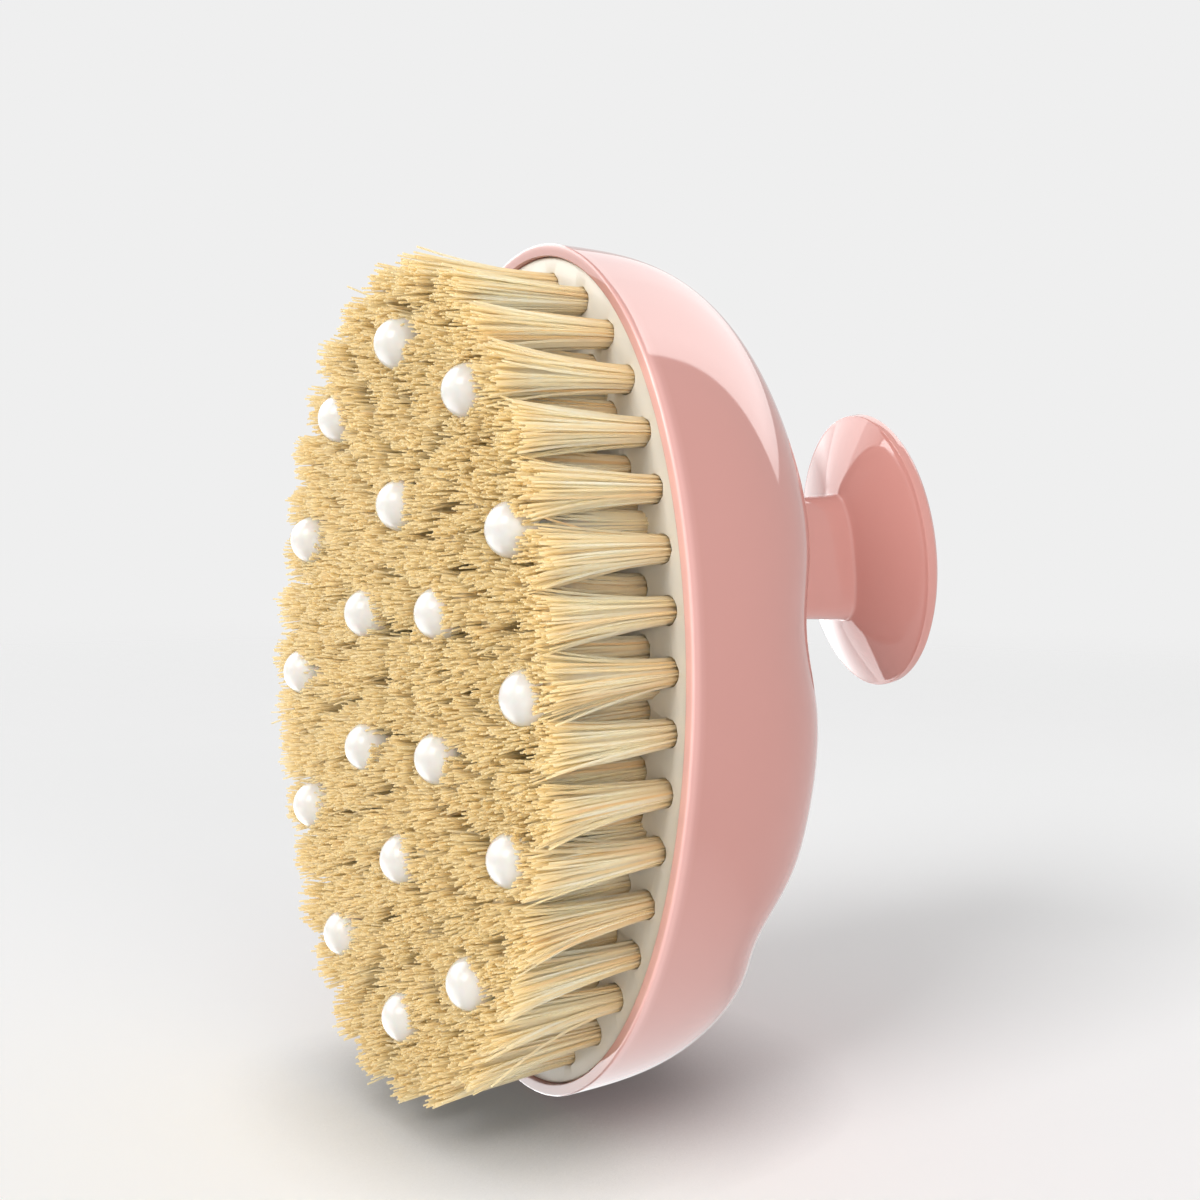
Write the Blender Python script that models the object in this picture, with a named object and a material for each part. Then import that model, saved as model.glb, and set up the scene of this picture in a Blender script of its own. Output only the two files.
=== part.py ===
"""Body brush: an oval head with a glossy back, a pad of bristle tufts and round nodules, and a knob handle.

The brush stands on its lower end. Z runs up the long axis of the head, X runs across it, and Y runs from
the bristles to the knob. Every sub-part hangs from one empty in the middle of the front face of the pad,
and the lengths are in metres.
"""

import math

import bmesh
import bpy
from mathutils import Vector

# Gap between two pieces that fit or rest on each other, and the length by which a cutter overruns.
FIT_GAP = 0.0003
OVERRUN = 0.0010

# Pad: an oval plate with a thin border, which holds one layer of tufted rings.
PAD_HALF_LENGTH = 0.0604
PAD_HALF_WIDTH = 0.0356
PAD_PLATE = 0.0030
PAD_LAYER = 0.0022
PAD_BORDER = 0.0010

# Back shell: its lip round the pad, its walls, and the two hollows across its back.
LIP_AT_ENDS = 0.0018
LIP_AT_SIDES = 0.0016
LIP_RISE = 0.0007
LIP_ROUND = 0.0008
SHELL_DEPTH = 0.0353
SHELL_WALL = 0.0024
LEDGE_WIDTH = 0.0016
LEDGE_THICKNESS = 0.0015
FINGER_HOLLOW_HEIGHT = 0.0079
FINGER_HOLLOW_DEPTH = 0.0036
FINGER_HOLLOW_SPREAD = 0.0102
PALM_HOLLOW_HEIGHT = -0.0372
PALM_HOLLOW_DEPTH = 0.0039
PALM_HOLLOW_SPREAD = 0.0073
BACK_POWER = 3.32

# Tufts: oval rows one inside the other, and a straight row in the middle.
EDGE_TO_TUFTS = 0.0040
ROW_STEP = 0.0060
TUFT_PITCH = 0.0081
BRISTLE_LENGTH = 0.0245
TUFT_ROOT_RADIUS = 0.00105
TUFT_TIP_RADIUS = 0.00235
STRAND_RADIUS = 0.00055
OUTER_ROW_STRANDS = 4
INNER_ROW_STRANDS = 3
STRAND_SIDES = 3
FIRST_TUFT_SHARE = 0.0094
LEAN_SIDEWAYS_SHARE = 0.16
LEAN_LENGTHWAYS_SHARE = -0.02
TURN_BETWEEN_TUFTS = math.radians(137.5)

# Nodules: balls on thin stems, in an outer ring and an inner ring. The rings are measured at the balls,
# inwards from the edge of the pad.
NODULE_RADIUS = 0.00365
NODULE_HEIGHT = 0.0220
STEM_RADIUS = 0.0013
OUTER_NODULES = 12
OUTER_NODULES_FROM_ENDS = 0.0135
OUTER_NODULES_FROM_SIDES = 0.0036
INNER_NODULES = 6
INNER_NODULES_FROM_ENDS = 0.0357
INNER_NODULES_FROM_SIDES = 0.0242
FIRST_NODULE_SHARE = -0.006

# Handle: a flat neck that widens into the cup of the knob, which a cap closes.
NECK_HEIGHT = 0.0165
NECK_FOOT_HALF_LENGTH = 0.0090
NECK_FOOT_HALF_WIDTH = 0.0034
NECK_TOP_HALF_LENGTH = 0.0108
NECK_TOP_HALF_WIDTH = 0.0038
KNOB_HALF_LENGTH = 0.0236
KNOB_HALF_WIDTH = 0.0150
KNOB_STANDOFF = 0.0327
KNOB_RAISE = 0.0011
KNOB_TILT = math.radians(8.7)
KNOB_CONE_DEPTH = 0.0072
KNOB_RIM_THICKNESS = 0.0024
KNOB_RIM_ROUND = 0.0008
KNOB_WALL = 0.0024
CUP_FLOOR = 0.0038
CAP_RISE = 0.0030
CAP_EDGE = 0.0075
PLUG_DEPTH = 0.0016

# Screws that hold the neck from inside the shell, and the boss under their heads.
SCREW_RADIUS = 0.0012
SCREW_SPACING = 0.0100
SCREW_GRIP = 0.0110
HEAD_RADIUS = 0.0025
HEAD_THICKNESS = 0.0017
BOSS_RISE = 0.0022
BOSS_MARGIN = 0.0020

SHELL_SIDES = 40
BAND_SIDES = 36
KNOB_SIDES = 28
ROUND_SIDES = 8
OUTLINE_STEPS = 720

# Places of the shell's rings, as shares of the way from the middle of the back to its edge.
OUTER_RING_SHARES = (0.992, 0.972, 0.935, 0.87, 0.78, 0.66, 0.52, 0.38, 0.25, 0.12)
INNER_RING_SHARES = (0.97, 0.9, 0.78, 0.6, 0.38, 0.18)

pad_depth = PAD_LAYER + FIT_GAP + PAD_PLATE
shell_half_length = PAD_HALF_LENGTH + FIT_GAP + LIP_AT_ENDS
shell_half_width = PAD_HALF_WIDTH + FIT_GAP + LIP_AT_SIDES
knob_depth = SHELL_DEPTH + KNOB_STANDOFF
knob_height = NECK_HEIGHT + KNOB_RAISE
knob_axis = Vector((0.0, math.cos(KNOB_TILT), math.sin(KNOB_TILT)))
knob_up = Vector((0.0, -math.sin(KNOB_TILT), math.cos(KNOB_TILT)))


def clear_scene():
    """Remove every object of the scene."""
    for obj in list(bpy.data.objects):
        bpy.data.objects.remove(obj, do_unlink=True)


def plain_material(name, colour, roughness, metallic=0.0):
    """Return a Principled material of one colour."""
    material = bpy.data.materials.new(name)
    material.use_nodes = True
    shader = material.node_tree.nodes["Principled BSDF"]
    shader.inputs["Base Color"].default_value = (*colour, 1.0)
    shader.inputs["Roughness"].default_value = roughness
    shader.inputs["Metallic"].default_value = metallic
    material.diffuse_color = (*colour, 1.0)
    return material


def oval(half_width, half_length, sides):
    """Return points round an oval as (x, z), counted from +X towards +Z."""
    turns = (2.0 * math.pi * side / sides for side in range(sides))
    return [(half_width * math.cos(turn), half_length * math.sin(turn)) for turn in turns]


def point_at_share(half_width, half_length, share):
    """Return the (x, z) point of an oval at a share of its outline, counted from the top towards +X."""
    outline = [
        (half_width * math.sin(turn), half_length * math.cos(turn))
        for turn in (2.0 * math.pi * step / OUTLINE_STEPS for step in range(OUTLINE_STEPS + 1))
    ]
    lengths = [0.0]
    for start, end in zip(outline, outline[1:]):
        lengths.append(lengths[-1] + math.dist(start, end))
    wanted = (share % 1.0) * lengths[-1]
    for step in range(OUTLINE_STEPS):
        if lengths[step + 1] >= wanted:
            blend = (wanted - lengths[step]) / (lengths[step + 1] - lengths[step])
            start, end = outline[step], outline[step + 1]
            return tuple(a + (b - a) * blend for a, b in zip(start, end))
    return outline[-1]


def outline_length(half_width, half_length):
    """Return the length of an oval's outline."""
    points = oval(half_width, half_length, OUTLINE_STEPS)
    return sum(math.dist(a, b) for a, b in zip(points, points[1:] + points[:1]))


def flat_ring(half_width, half_length, depth, sides):
    """Return an oval ring of points, all at one depth behind the pad's face."""
    return [Vector((x, depth, z)) for x, z in oval(half_width, half_length, sides)]


def knob_ring(along, half_width, half_length, sides=KNOB_SIDES):
    """Return an oval ring square to the knob's axis, at a distance along it from the rim's plane."""
    centre = Vector((0.0, knob_depth, knob_height)) + knob_axis * along
    return [centre + Vector((x, 0.0, 0.0)) + knob_up * z for x, z in oval(half_width, half_length, sides)]


def skin_rings(mesh, rings, closed_ends=True, looped=False):
    """Add rings of points to a bmesh and the faces between them.

    A ring of one point ends the skin in a fan. Otherwise closed_ends caps both ends with a flat face,
    and looped joins the last ring to the first.
    """
    layers = [[mesh.verts.new(point) for point in ring] for ring in rings]
    pairs = list(zip(layers, layers[1:]))
    if looped:
        pairs.append((layers[-1], layers[0]))
    for lower, upper in pairs:
        for side in range(max(len(lower), len(upper))):
            following = side + 1
            corners = [
                lower[side % len(lower)],
                lower[following % len(lower)],
                upper[following % len(upper)],
                upper[side % len(upper)],
            ]
            mesh.faces.new(list(dict.fromkeys(corners)))
    if closed_ends and not looped:
        for layer in (layers[0], layers[-1]):
            if len(layer) > 1:
                mesh.faces.new(layer)


def add_object(name, build, material=None, cutter=False):
    """Make a mesh object from a function that fills a bmesh, hung from the root empty."""
    mesh = bmesh.new()
    build(mesh)
    bmesh.ops.recalc_face_normals(mesh, faces=mesh.faces)
    data = bpy.data.meshes.new(name)
    mesh.to_mesh(data)
    mesh.free()
    data.shade_smooth()
    data.set_sharp_from_angle(angle=math.radians(35.0))
    obj = bpy.data.objects.new(name, data)
    bpy.context.scene.collection.objects.link(obj)
    obj.parent = root
    if material:
        data.materials.append(material)
    if cutter:
        obj.hide_render = True
        obj.display_type = "WIRE"
    return obj


def combine(obj, other, operation):
    """Put a Boolean modifier on an object, with the exact solver."""
    modifier = obj.modifiers.new(f"{operation.title()} {other.name}", "BOOLEAN")
    modifier.operation = operation
    modifier.object = other
    modifier.solver = "EXACT"


def back_depth(height, offset=0.0):
    """Return how deep the back is over its middle line at a height, with its two hollows."""
    hollows = (
        (FINGER_HOLLOW_HEIGHT, FINGER_HOLLOW_DEPTH, FINGER_HOLLOW_SPREAD),
        (PALM_HOLLOW_HEIGHT, PALM_HOLLOW_DEPTH, PALM_HOLLOW_SPREAD),
    )
    hollowed = sum(
        depth * math.exp(-(((height - middle) / spread) ** 2)) for middle, depth, spread in hollows
    )
    return SHELL_DEPTH - hollowed + offset


def back_ring(share, half_width, half_length, offset):
    """Return a ring of the rounded back, at a share of the way out from its middle."""
    rise_share = (1.0 - share**BACK_POWER) ** (1.0 / BACK_POWER)
    ring = oval(half_width * share, half_length * share, SHELL_SIDES)
    return [Vector((x, rise_share * back_depth(z, offset), z)) for x, z in ring]


def back_middle(offset):
    """Return the back's middle point, as a ring of one point."""
    return [Vector((0.0, back_depth(0.0, offset), 0.0))]


def shell_blank(mesh, gap=0.0):
    """Fill a bmesh with the shell's outer form, solid and larger all round by a gap."""
    width = shell_half_width + gap
    length = shell_half_length + gap
    rings = [flat_ring(width, length, 0.0, SHELL_SIDES)]
    rings += [back_ring(share, width, length, gap) for share in OUTER_RING_SHARES]
    skin_rings(mesh, rings + [back_middle(gap)])


def shell_form(mesh):
    """Fill a bmesh with the hollow shell: outside, lip, seat of the pad, ledge and inside."""
    outer = shell_half_width, shell_half_length
    seat = PAD_HALF_WIDTH + FIT_GAP, PAD_HALF_LENGTH + FIT_GAP
    ledge_depth = pad_depth + FIT_GAP
    room_depth = ledge_depth + LEDGE_THICKNESS
    lip_profile = (
        (outer, 0.0, LIP_ROUND),
        (outer, LIP_ROUND, -LIP_RISE),
        (seat, -LIP_ROUND, -LIP_RISE),
        (seat, 0.0, -LIP_RISE + LIP_ROUND),
        (seat, 0.0, ledge_depth),
        (seat, LEDGE_WIDTH, ledge_depth),
        (seat, LEDGE_WIDTH, room_depth),
    )
    inner_width = shell_half_width - SHELL_WALL
    inner_length = shell_half_length - SHELL_WALL
    rings = [back_middle(0.0)]
    rings += [back_ring(share, *outer, 0.0) for share in reversed(OUTER_RING_SHARES)]
    for (width, length), inset, depth in lip_profile:
        rings.append(flat_ring(width - inset, length - inset, depth, SHELL_SIDES))
    rings.append(flat_ring(inner_width, inner_length, room_depth + LEDGE_WIDTH, SHELL_SIDES))
    rings += [back_ring(share, inner_width, inner_length, -SHELL_WALL) for share in INNER_RING_SHARES]
    rings.append(back_middle(-SHELL_WALL))
    skin_rings(mesh, rings)


def pad_form(mesh):
    """Fill a bmesh with the pad's plate and the border that stands round its layer of rings."""
    edge = PAD_HALF_WIDTH, PAD_HALF_LENGTH
    recess = PAD_HALF_WIDTH - PAD_BORDER, PAD_HALF_LENGTH - PAD_BORDER
    rings = [
        flat_ring(*edge, pad_depth, BAND_SIDES),
        flat_ring(*edge, 0.0, BAND_SIDES),
        flat_ring(*recess, 0.0, BAND_SIDES),
        flat_ring(*recess, PAD_LAYER + FIT_GAP, BAND_SIDES),
    ]
    skin_rings(mesh, rings)


def spread_at(height):
    """Return by how much the tufts stand wider and longer at a height than at their roots."""
    risen_share = height / BRISTLE_LENGTH
    return 1.0 + LEAN_SIDEWAYS_SHARE * risen_share, 1.0 + LEAN_LENGTHWAYS_SHARE * risen_share


def leaned(x, z, height):
    """Return where a tuft or stem rooted at (x, z) stands at a height above the pad's face."""
    wider, longer = spread_at(height)
    return Vector((x * wider, -height, z * longer))


def nodule_roots():
    """Return the (x, z) root of every nodule, the outer ring first."""
    rings = (
        (OUTER_NODULES, OUTER_NODULES_FROM_SIDES, OUTER_NODULES_FROM_ENDS),
        (INNER_NODULES, INNER_NODULES_FROM_SIDES, INNER_NODULES_FROM_ENDS),
    )
    wider, longer = spread_at(NODULE_HEIGHT)
    roots = []
    for count, from_sides, from_ends in rings:
        half_sizes = PAD_HALF_WIDTH - from_sides, PAD_HALF_LENGTH - from_ends
        for item in range(count):
            x, z = point_at_share(*half_sizes, FIRST_NODULE_SHARE + item / count)
            roots.append((x / wider, z / longer))
    return roots


def stem_rings(root_point, radius, low, high):
    """Return the rings of a leaning stem between two heights above the pad's face."""
    rings = []
    for height in (low, high):
        centre = leaned(*root_point, height)
        rings.append([centre + Vector((x, 0.0, z)) for x, z in oval(radius, radius, ROUND_SIDES)])
    return rings


def nodule_form(mesh, root_point):
    """Fill a bmesh with one nodule: a stem from the back of the layer, and a ball on it."""
    neck_turn = math.asin(STEM_RADIUS / NODULE_RADIUS)
    neck_height = NODULE_HEIGHT - NODULE_RADIUS * math.cos(neck_turn)
    rings = stem_rings(root_point, STEM_RADIUS, -PAD_LAYER, neck_height)
    steps = ROUND_SIDES // 2 + 1
    for step in range(1, steps):
        turn = neck_turn + (math.pi - neck_turn) * step / steps
        centre = leaned(*root_point, NODULE_HEIGHT)
        centre.y += NODULE_RADIUS * math.cos(turn)
        radius = NODULE_RADIUS * math.sin(turn)
        rings.append([centre + Vector((x, 0.0, z)) for x, z in oval(radius, radius, ROUND_SIDES)])
    tip = leaned(*root_point, NODULE_HEIGHT)
    tip.y -= NODULE_RADIUS
    skin_rings(mesh, rings + [[tip]])


def stem_holes(mesh):
    """Fill a bmesh with the holes that the nodules' stems stand in."""
    for root_point in nodule_roots():
        low = -(PAD_LAYER + OVERRUN)
        skin_rings(mesh, stem_rings(root_point, STEM_RADIUS + FIT_GAP, low, OVERRUN))


def tuft_rows():
    """Return, for each oval row from the outside in, its half width and half length."""
    half_width = PAD_HALF_WIDTH - EDGE_TO_TUFTS
    half_length = PAD_HALF_LENGTH - EDGE_TO_TUFTS
    count = int(half_width / ROW_STEP)
    return [(half_width - ROW_STEP * row, half_length - ROW_STEP * row) for row in range(count)]


def row_tufts(row, half_width, half_length):
    """Return the roots of the tufts in one oval row, spaced evenly along it."""
    count = round(outline_length(half_width, half_length) / TUFT_PITCH)
    first_share = FIRST_TUFT_SHARE + 0.5 * row / count
    return [point_at_share(half_width, half_length, first_share + item / count) for item in range(count)]


def middle_tufts(half_length):
    """Return the roots of the tufts in the straight row up the middle of the pad."""
    spaces = max(1, round(2.0 * half_length / TUFT_PITCH))
    return [(0.0, half_length * (2.0 * item / spaces - 1.0)) for item in range(spaces + 1)]


def tuft_strands(tufts, strands_each):
    """Return the (root, tip) lines of the strands of a row that stand clear of every nodule."""
    roots = nodule_roots()
    least_from_stem = TUFT_ROOT_RADIUS + STRAND_RADIUS + STEM_RADIUS + 2.0 * FIT_GAP
    least_from_ball = NODULE_RADIUS + STRAND_RADIUS + FIT_GAP
    strands = []
    for number, tuft in enumerate(tufts):
        if min(math.dist(tuft, stem) for stem in roots) < least_from_stem:
            continue
        top = leaned(*tuft, BRISTLE_LENGTH)
        for item in range(strands_each):
            turn = number * TURN_BETWEEN_TUFTS + 2.0 * math.pi * item / strands_each
            out = Vector((math.cos(turn), 0.0, math.sin(turn)))
            low = leaned(*tuft, -0.5 * PAD_LAYER) + out * TUFT_ROOT_RADIUS
            high = top + out * TUFT_TIP_RADIUS
            ball_level_share = (NODULE_HEIGHT + low.y) / (BRISTLE_LENGTH + low.y)
            beside_ball = low.lerp(high, ball_level_share)
            balls = (leaned(*stem, NODULE_HEIGHT) for stem in roots)
            if min((ball - beside_ball).length for ball in balls) >= least_from_ball:
                strands.append((low, high))
    return strands


def strand_forms(mesh, strands):
    """Fill a bmesh with the strands, each a thin straight prism with a flat tip."""
    shape = oval(STRAND_RADIUS, STRAND_RADIUS, STRAND_SIDES)
    for low, high in strands:
        skin_rings(mesh, [[end + Vector((x, 0.0, z)) for x, z in shape] for end in (low, high)])


def band_form(mesh, outer, inner):
    """Fill a bmesh with one ring of the pad's layer, or with its middle where inner is None."""
    front = flat_ring(*outer, 0.0, BAND_SIDES)
    back = flat_ring(*outer, PAD_LAYER, BAND_SIDES)
    if inner is None:
        skin_rings(mesh, [front, back])
        return
    inside_back = flat_ring(*inner, PAD_LAYER, BAND_SIDES)
    inside_front = flat_ring(*inner, 0.0, BAND_SIDES)
    skin_rings(mesh, [front, back, inside_back, inside_front], looped=True)


def add_bristle_rows(material, holes):
    """Make a node of each row of tufts: its ring of the pad's layer with its strands."""
    rows = tuft_rows()
    half_gap = 0.5 * FIT_GAP
    from_row = 0.5 * ROW_STEP
    outer = PAD_HALF_WIDTH - PAD_BORDER - FIT_GAP, PAD_HALF_LENGTH - PAD_BORDER - FIT_GAP
    for row, (half_width, half_length) in enumerate(rows):
        inner = half_width - from_row + half_gap, half_length - from_row + half_gap
        strands_each = INNER_ROW_STRANDS if row else OUTER_ROW_STRANDS
        strands = tuft_strands(row_tufts(row, half_width, half_length), strands_each)
        name = f"bristle_row_{row + 1}"
        add_bristle_row(name, outer, inner, strands, material, holes)
        outer = tuple(half - FIT_GAP for half in inner)
    strands = tuft_strands(middle_tufts(rows[-1][1] - ROW_STEP), INNER_ROW_STRANDS)
    add_bristle_row("bristle_row_middle", outer, None, strands, material, holes)


def add_bristle_row(name, outer, inner, strands, material, holes):
    """Make one ring of the pad's layer, cut the stems' holes in it and join its strands to it."""
    band = add_object(name, lambda mesh: band_form(mesh, outer, inner), material)
    guide = add_object(f"strands_of_{name}", lambda mesh: strand_forms(mesh, strands), cutter=True)
    combine(band, holes, "DIFFERENCE")
    combine(band, guide, "UNION")


def cone_half_sizes(along):
    """Return the half width and half length of the knob's cone at a place along its axis."""
    rim_start = -0.5 * KNOB_RIM_THICKNESS
    blend = (along + KNOB_CONE_DEPTH) / (rim_start + KNOB_CONE_DEPTH)
    wide = KNOB_HALF_WIDTH - KNOB_RIM_ROUND
    long = KNOB_HALF_LENGTH - KNOB_RIM_ROUND
    return (
        NECK_TOP_HALF_WIDTH + (wide - NECK_TOP_HALF_WIDTH) * blend,
        NECK_TOP_HALF_LENGTH + (long - NECK_TOP_HALF_LENGTH) * blend,
    )


def rim_edge():
    """Return the half width and half length of the edge where the cup and the cap meet."""
    return KNOB_HALF_WIDTH - 0.5 * KNOB_RIM_ROUND, KNOB_HALF_LENGTH - 0.5 * KNOB_RIM_ROUND


def handle_form(mesh):
    """Fill a bmesh with the neck and the cup of the knob, solid, and with the neck run into the shell."""
    foot_depth = SHELL_DEPTH - FINGER_HOLLOW_DEPTH - SHELL_WALL
    half_rim = 0.5 * KNOB_RIM_THICKNESS
    rings = [
        [
            Vector((x, foot_depth, NECK_HEIGHT + z))
            for x, z in oval(NECK_FOOT_HALF_WIDTH, NECK_FOOT_HALF_LENGTH, KNOB_SIDES)
        ],
        knob_ring(-KNOB_CONE_DEPTH, NECK_TOP_HALF_WIDTH, NECK_TOP_HALF_LENGTH),
        knob_ring(-half_rim, KNOB_HALF_WIDTH - KNOB_RIM_ROUND, KNOB_HALF_LENGTH - KNOB_RIM_ROUND),
        knob_ring(0.0, KNOB_HALF_WIDTH, KNOB_HALF_LENGTH),
        knob_ring(half_rim, *rim_edge()),
    ]
    skin_rings(mesh, rings)


def cup_room(mesh):
    """Fill a bmesh with the hollow of the knob's cup, open towards the cap."""
    half_rim = 0.5 * KNOB_RIM_THICKNESS
    floor = CUP_FLOOR - KNOB_CONE_DEPTH
    mouth = half_rim
    rings = [knob_ring(place, *cone_half_sizes(place - KNOB_WALL)) for place in (floor, mouth)]
    rings.append(knob_ring(mouth + OVERRUN, *cone_half_sizes(mouth - KNOB_WALL)))
    skin_rings(mesh, rings)


def cap_form(mesh):
    """Fill a bmesh with the knob's cap: a tapered plug in the cup, and a low top with a flat middle."""
    seat = 0.5 * KNOB_RIM_THICKNESS
    mouth = cone_half_sizes(seat - KNOB_WALL)
    plug = cone_half_sizes(seat - PLUG_DEPTH - KNOB_WALL)
    width, length = KNOB_HALF_WIDTH, KNOB_HALF_LENGTH
    round_off = KNOB_RIM_ROUND
    rings = [
        knob_ring(seat - PLUG_DEPTH, *(half - FIT_GAP for half in plug)),
        knob_ring(seat + FIT_GAP, *(half - FIT_GAP for half in mouth)),
        knob_ring(seat + FIT_GAP, *rim_edge()),
        knob_ring(seat + FIT_GAP + round_off, width - round_off, length - round_off),
        knob_ring(seat + CAP_RISE - round_off, width - 0.5 * CAP_EDGE, length - 0.5 * CAP_EDGE),
        knob_ring(seat + CAP_RISE, width - CAP_EDGE, length - CAP_EDGE),
    ]
    skin_rings(mesh, rings)


def screw_heights():
    """Return the heights of the two screws, the lower one first."""
    return [NECK_HEIGHT + side * 0.5 * SCREW_SPACING for side in (-1.0, 1.0)]


def boss_face():
    """Return the depth of the boss's flat face, where the screw heads bear."""
    return min(back_depth(height, -SHELL_WALL) for height in screw_heights()) - BOSS_RISE


def boss_form(mesh):
    """Fill a bmesh with the boss inside the shell, run into its wall."""
    half_width = NECK_FOOT_HALF_WIDTH + BOSS_MARGIN
    half_length = NECK_FOOT_HALF_LENGTH + BOSS_MARGIN
    wall_depth = back_depth(FINGER_HOLLOW_HEIGHT, -0.5 * SHELL_WALL)
    rings = [
        [Vector((x, depth, NECK_HEIGHT + z)) for x, z in oval(half_width, half_length, KNOB_SIDES)]
        for depth in (boss_face(), wall_depth)
    ]
    skin_rings(mesh, rings)


def rod_rings(height, radius, low, high):
    """Return the two rings of a round rod along Y at a height on the middle plane."""
    return [
        [Vector((x, depth, height + z)) for x, z in oval(radius, radius, ROUND_SIDES)]
        for depth in (low, high)
    ]


def screw_form(mesh, height):
    """Fill a bmesh with one screw: its head against the boss and its shank into the neck."""
    under_head = boss_face() - FIT_GAP
    tip = back_depth(height) + SCREW_GRIP
    rings = rod_rings(height, HEAD_RADIUS, under_head - HEAD_THICKNESS, under_head)
    rings += rod_rings(height, SCREW_RADIUS, under_head, tip)
    skin_rings(mesh, rings)


def screw_holes(mesh):
    """Fill a bmesh with the holes for both screws, through the boss and the wall and into the neck."""
    for height in screw_heights():
        low = boss_face() - OVERRUN
        high = back_depth(height) + SCREW_GRIP + FIT_GAP
        skin_rings(mesh, rod_rings(height, SCREW_RADIUS + FIT_GAP, low, high))


def place_root():
    """Stand the brush on the floor, with its depth centred on the scene's middle."""
    front = -(NODULE_HEIGHT + NODULE_RADIUS)
    cap_top = knob_depth + (0.5 * KNOB_RIM_THICKNESS + CAP_RISE) * math.cos(KNOB_TILT)
    low_edge = (KNOB_HALF_LENGTH - CAP_EDGE) * math.sin(KNOB_TILT)
    root.location = (0.0, -0.5 * (front + cap_top + low_edge), shell_half_length)


def build_shell(material):
    """Make the back shell with its boss and screw holes."""
    shell = add_object("back_shell", shell_form, material)
    combine(shell, add_object("boss_guide", boss_form, cutter=True), "UNION")
    combine(shell, screw_hole_guide, "DIFFERENCE")


def build_handle(material):
    """Make the neck with the knob's cup, and the cap that closes it."""
    handle = add_object("handle", handle_form, material)
    foot_guide = add_object("shell_guide", lambda mesh: shell_blank(mesh, FIT_GAP), cutter=True)
    combine(handle, foot_guide, "DIFFERENCE")
    combine(handle, screw_hole_guide, "DIFFERENCE")
    combine(handle, add_object("cup_guide", cup_room, cutter=True), "DIFFERENCE")
    add_object("knob_cap", cap_form, material)


def build_screws(material):
    """Make the two screws between the shell and the handle."""
    for name, height in zip(("handle_screw_lower", "handle_screw_upper"), screw_heights()):
        add_object(name, lambda mesh, at=height: screw_form(mesh, at), material)


def build_nodules(material):
    """Make the nodules, each an object of its own."""
    for number, root_point in enumerate(nodule_roots(), start=1):
        add_object(f"nodule_{number:02d}", lambda mesh, at=root_point: nodule_form(mesh, at), material)


clear_scene()
root = bpy.data.objects.new("body_brush", None)
bpy.context.scene.collection.objects.link(root)
place_root()

pink_gloss = plain_material("pink_gloss_plastic", (0.72, 0.36, 0.31), 0.12)
cream_plastic = plain_material("cream_pad_plastic", (0.86, 0.82, 0.74), 0.4)
white_plastic = plain_material("white_nodule_plastic", (0.92, 0.9, 0.87), 0.25)
bristle_fibre = plain_material("bristle_fibre", (0.76, 0.6, 0.36), 0.6)
plated_steel = plain_material("plated_screw_steel", (0.62, 0.62, 0.64), 0.3, metallic=1.0)

screw_hole_guide = add_object("screw_hole_guide", screw_holes, cutter=True)
stem_hole_guide = add_object("stem_hole_guide", stem_holes, cutter=True)

build_shell(pink_gloss)
add_object("bristle_pad", pad_form, cream_plastic)
add_bristle_rows(bristle_fibre, stem_hole_guide)
build_nodules(white_plastic)
build_handle(pink_gloss)
build_screws(plated_steel)
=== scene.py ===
"""Looks of the body brush: glossy shell and knob, cream pad, tufts of plant fibre and white nodules.

The head's own frame has its origin in the middle of the front face of the pad: X runs across the head,
Y backwards to the knob and Z up the long axis. Sizes are in metres, and those that end in _mm in millimetres.
"""

import logging
import math
from dataclasses import dataclass
from enum import Enum
from typing import Optional, Sequence

import bpy
import numpy as np
from mathutils import Matrix, Vector
from mathutils.geometry import delaunay_2d_cdt


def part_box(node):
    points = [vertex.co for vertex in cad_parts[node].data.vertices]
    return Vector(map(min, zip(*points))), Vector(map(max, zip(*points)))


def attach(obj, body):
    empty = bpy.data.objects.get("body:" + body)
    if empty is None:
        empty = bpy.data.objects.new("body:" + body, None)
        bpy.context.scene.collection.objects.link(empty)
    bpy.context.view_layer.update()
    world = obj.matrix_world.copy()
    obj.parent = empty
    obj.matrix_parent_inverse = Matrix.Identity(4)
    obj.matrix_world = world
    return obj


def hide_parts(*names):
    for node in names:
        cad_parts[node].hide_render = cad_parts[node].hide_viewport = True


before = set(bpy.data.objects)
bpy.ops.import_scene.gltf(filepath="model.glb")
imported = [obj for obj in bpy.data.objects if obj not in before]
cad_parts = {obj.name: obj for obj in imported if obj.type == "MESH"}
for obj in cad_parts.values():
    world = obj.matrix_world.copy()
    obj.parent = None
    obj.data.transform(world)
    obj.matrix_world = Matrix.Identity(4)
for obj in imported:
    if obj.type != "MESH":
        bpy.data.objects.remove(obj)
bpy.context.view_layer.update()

LOG = logging.getLogger("body_brush")
MM = 0.001
TINY = 1e-9
FULL_TURN = 2.0 * math.pi
WHITE = (1.0, 1.0, 1.0, 1.0)
BLACK = (0.0, 0.0, 0.0, 1.0)

Ring = np.ndarray
Pair = tuple[float, float]
Triple = tuple[float, float, float]
NoduleRing = tuple[int, float, float]
Steps = tuple[Pair, ...]
Material = bpy.types.Material
Piece = bpy.types.Object
Socket = bpy.types.NodeSocket
Tree = bpy.types.NodeTree


class Slot(Enum):
    """The record's material slots."""

    PINK_SHELL = "pink_shell"
    PINK_HANDLE = "pink_handle"
    CREAM_PAD = "cream_pad"
    WHITE_NODULE = "white_nodule"
    BRISTLES = "bristles"
    SCREW_STEEL = "screw_steel"


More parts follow.
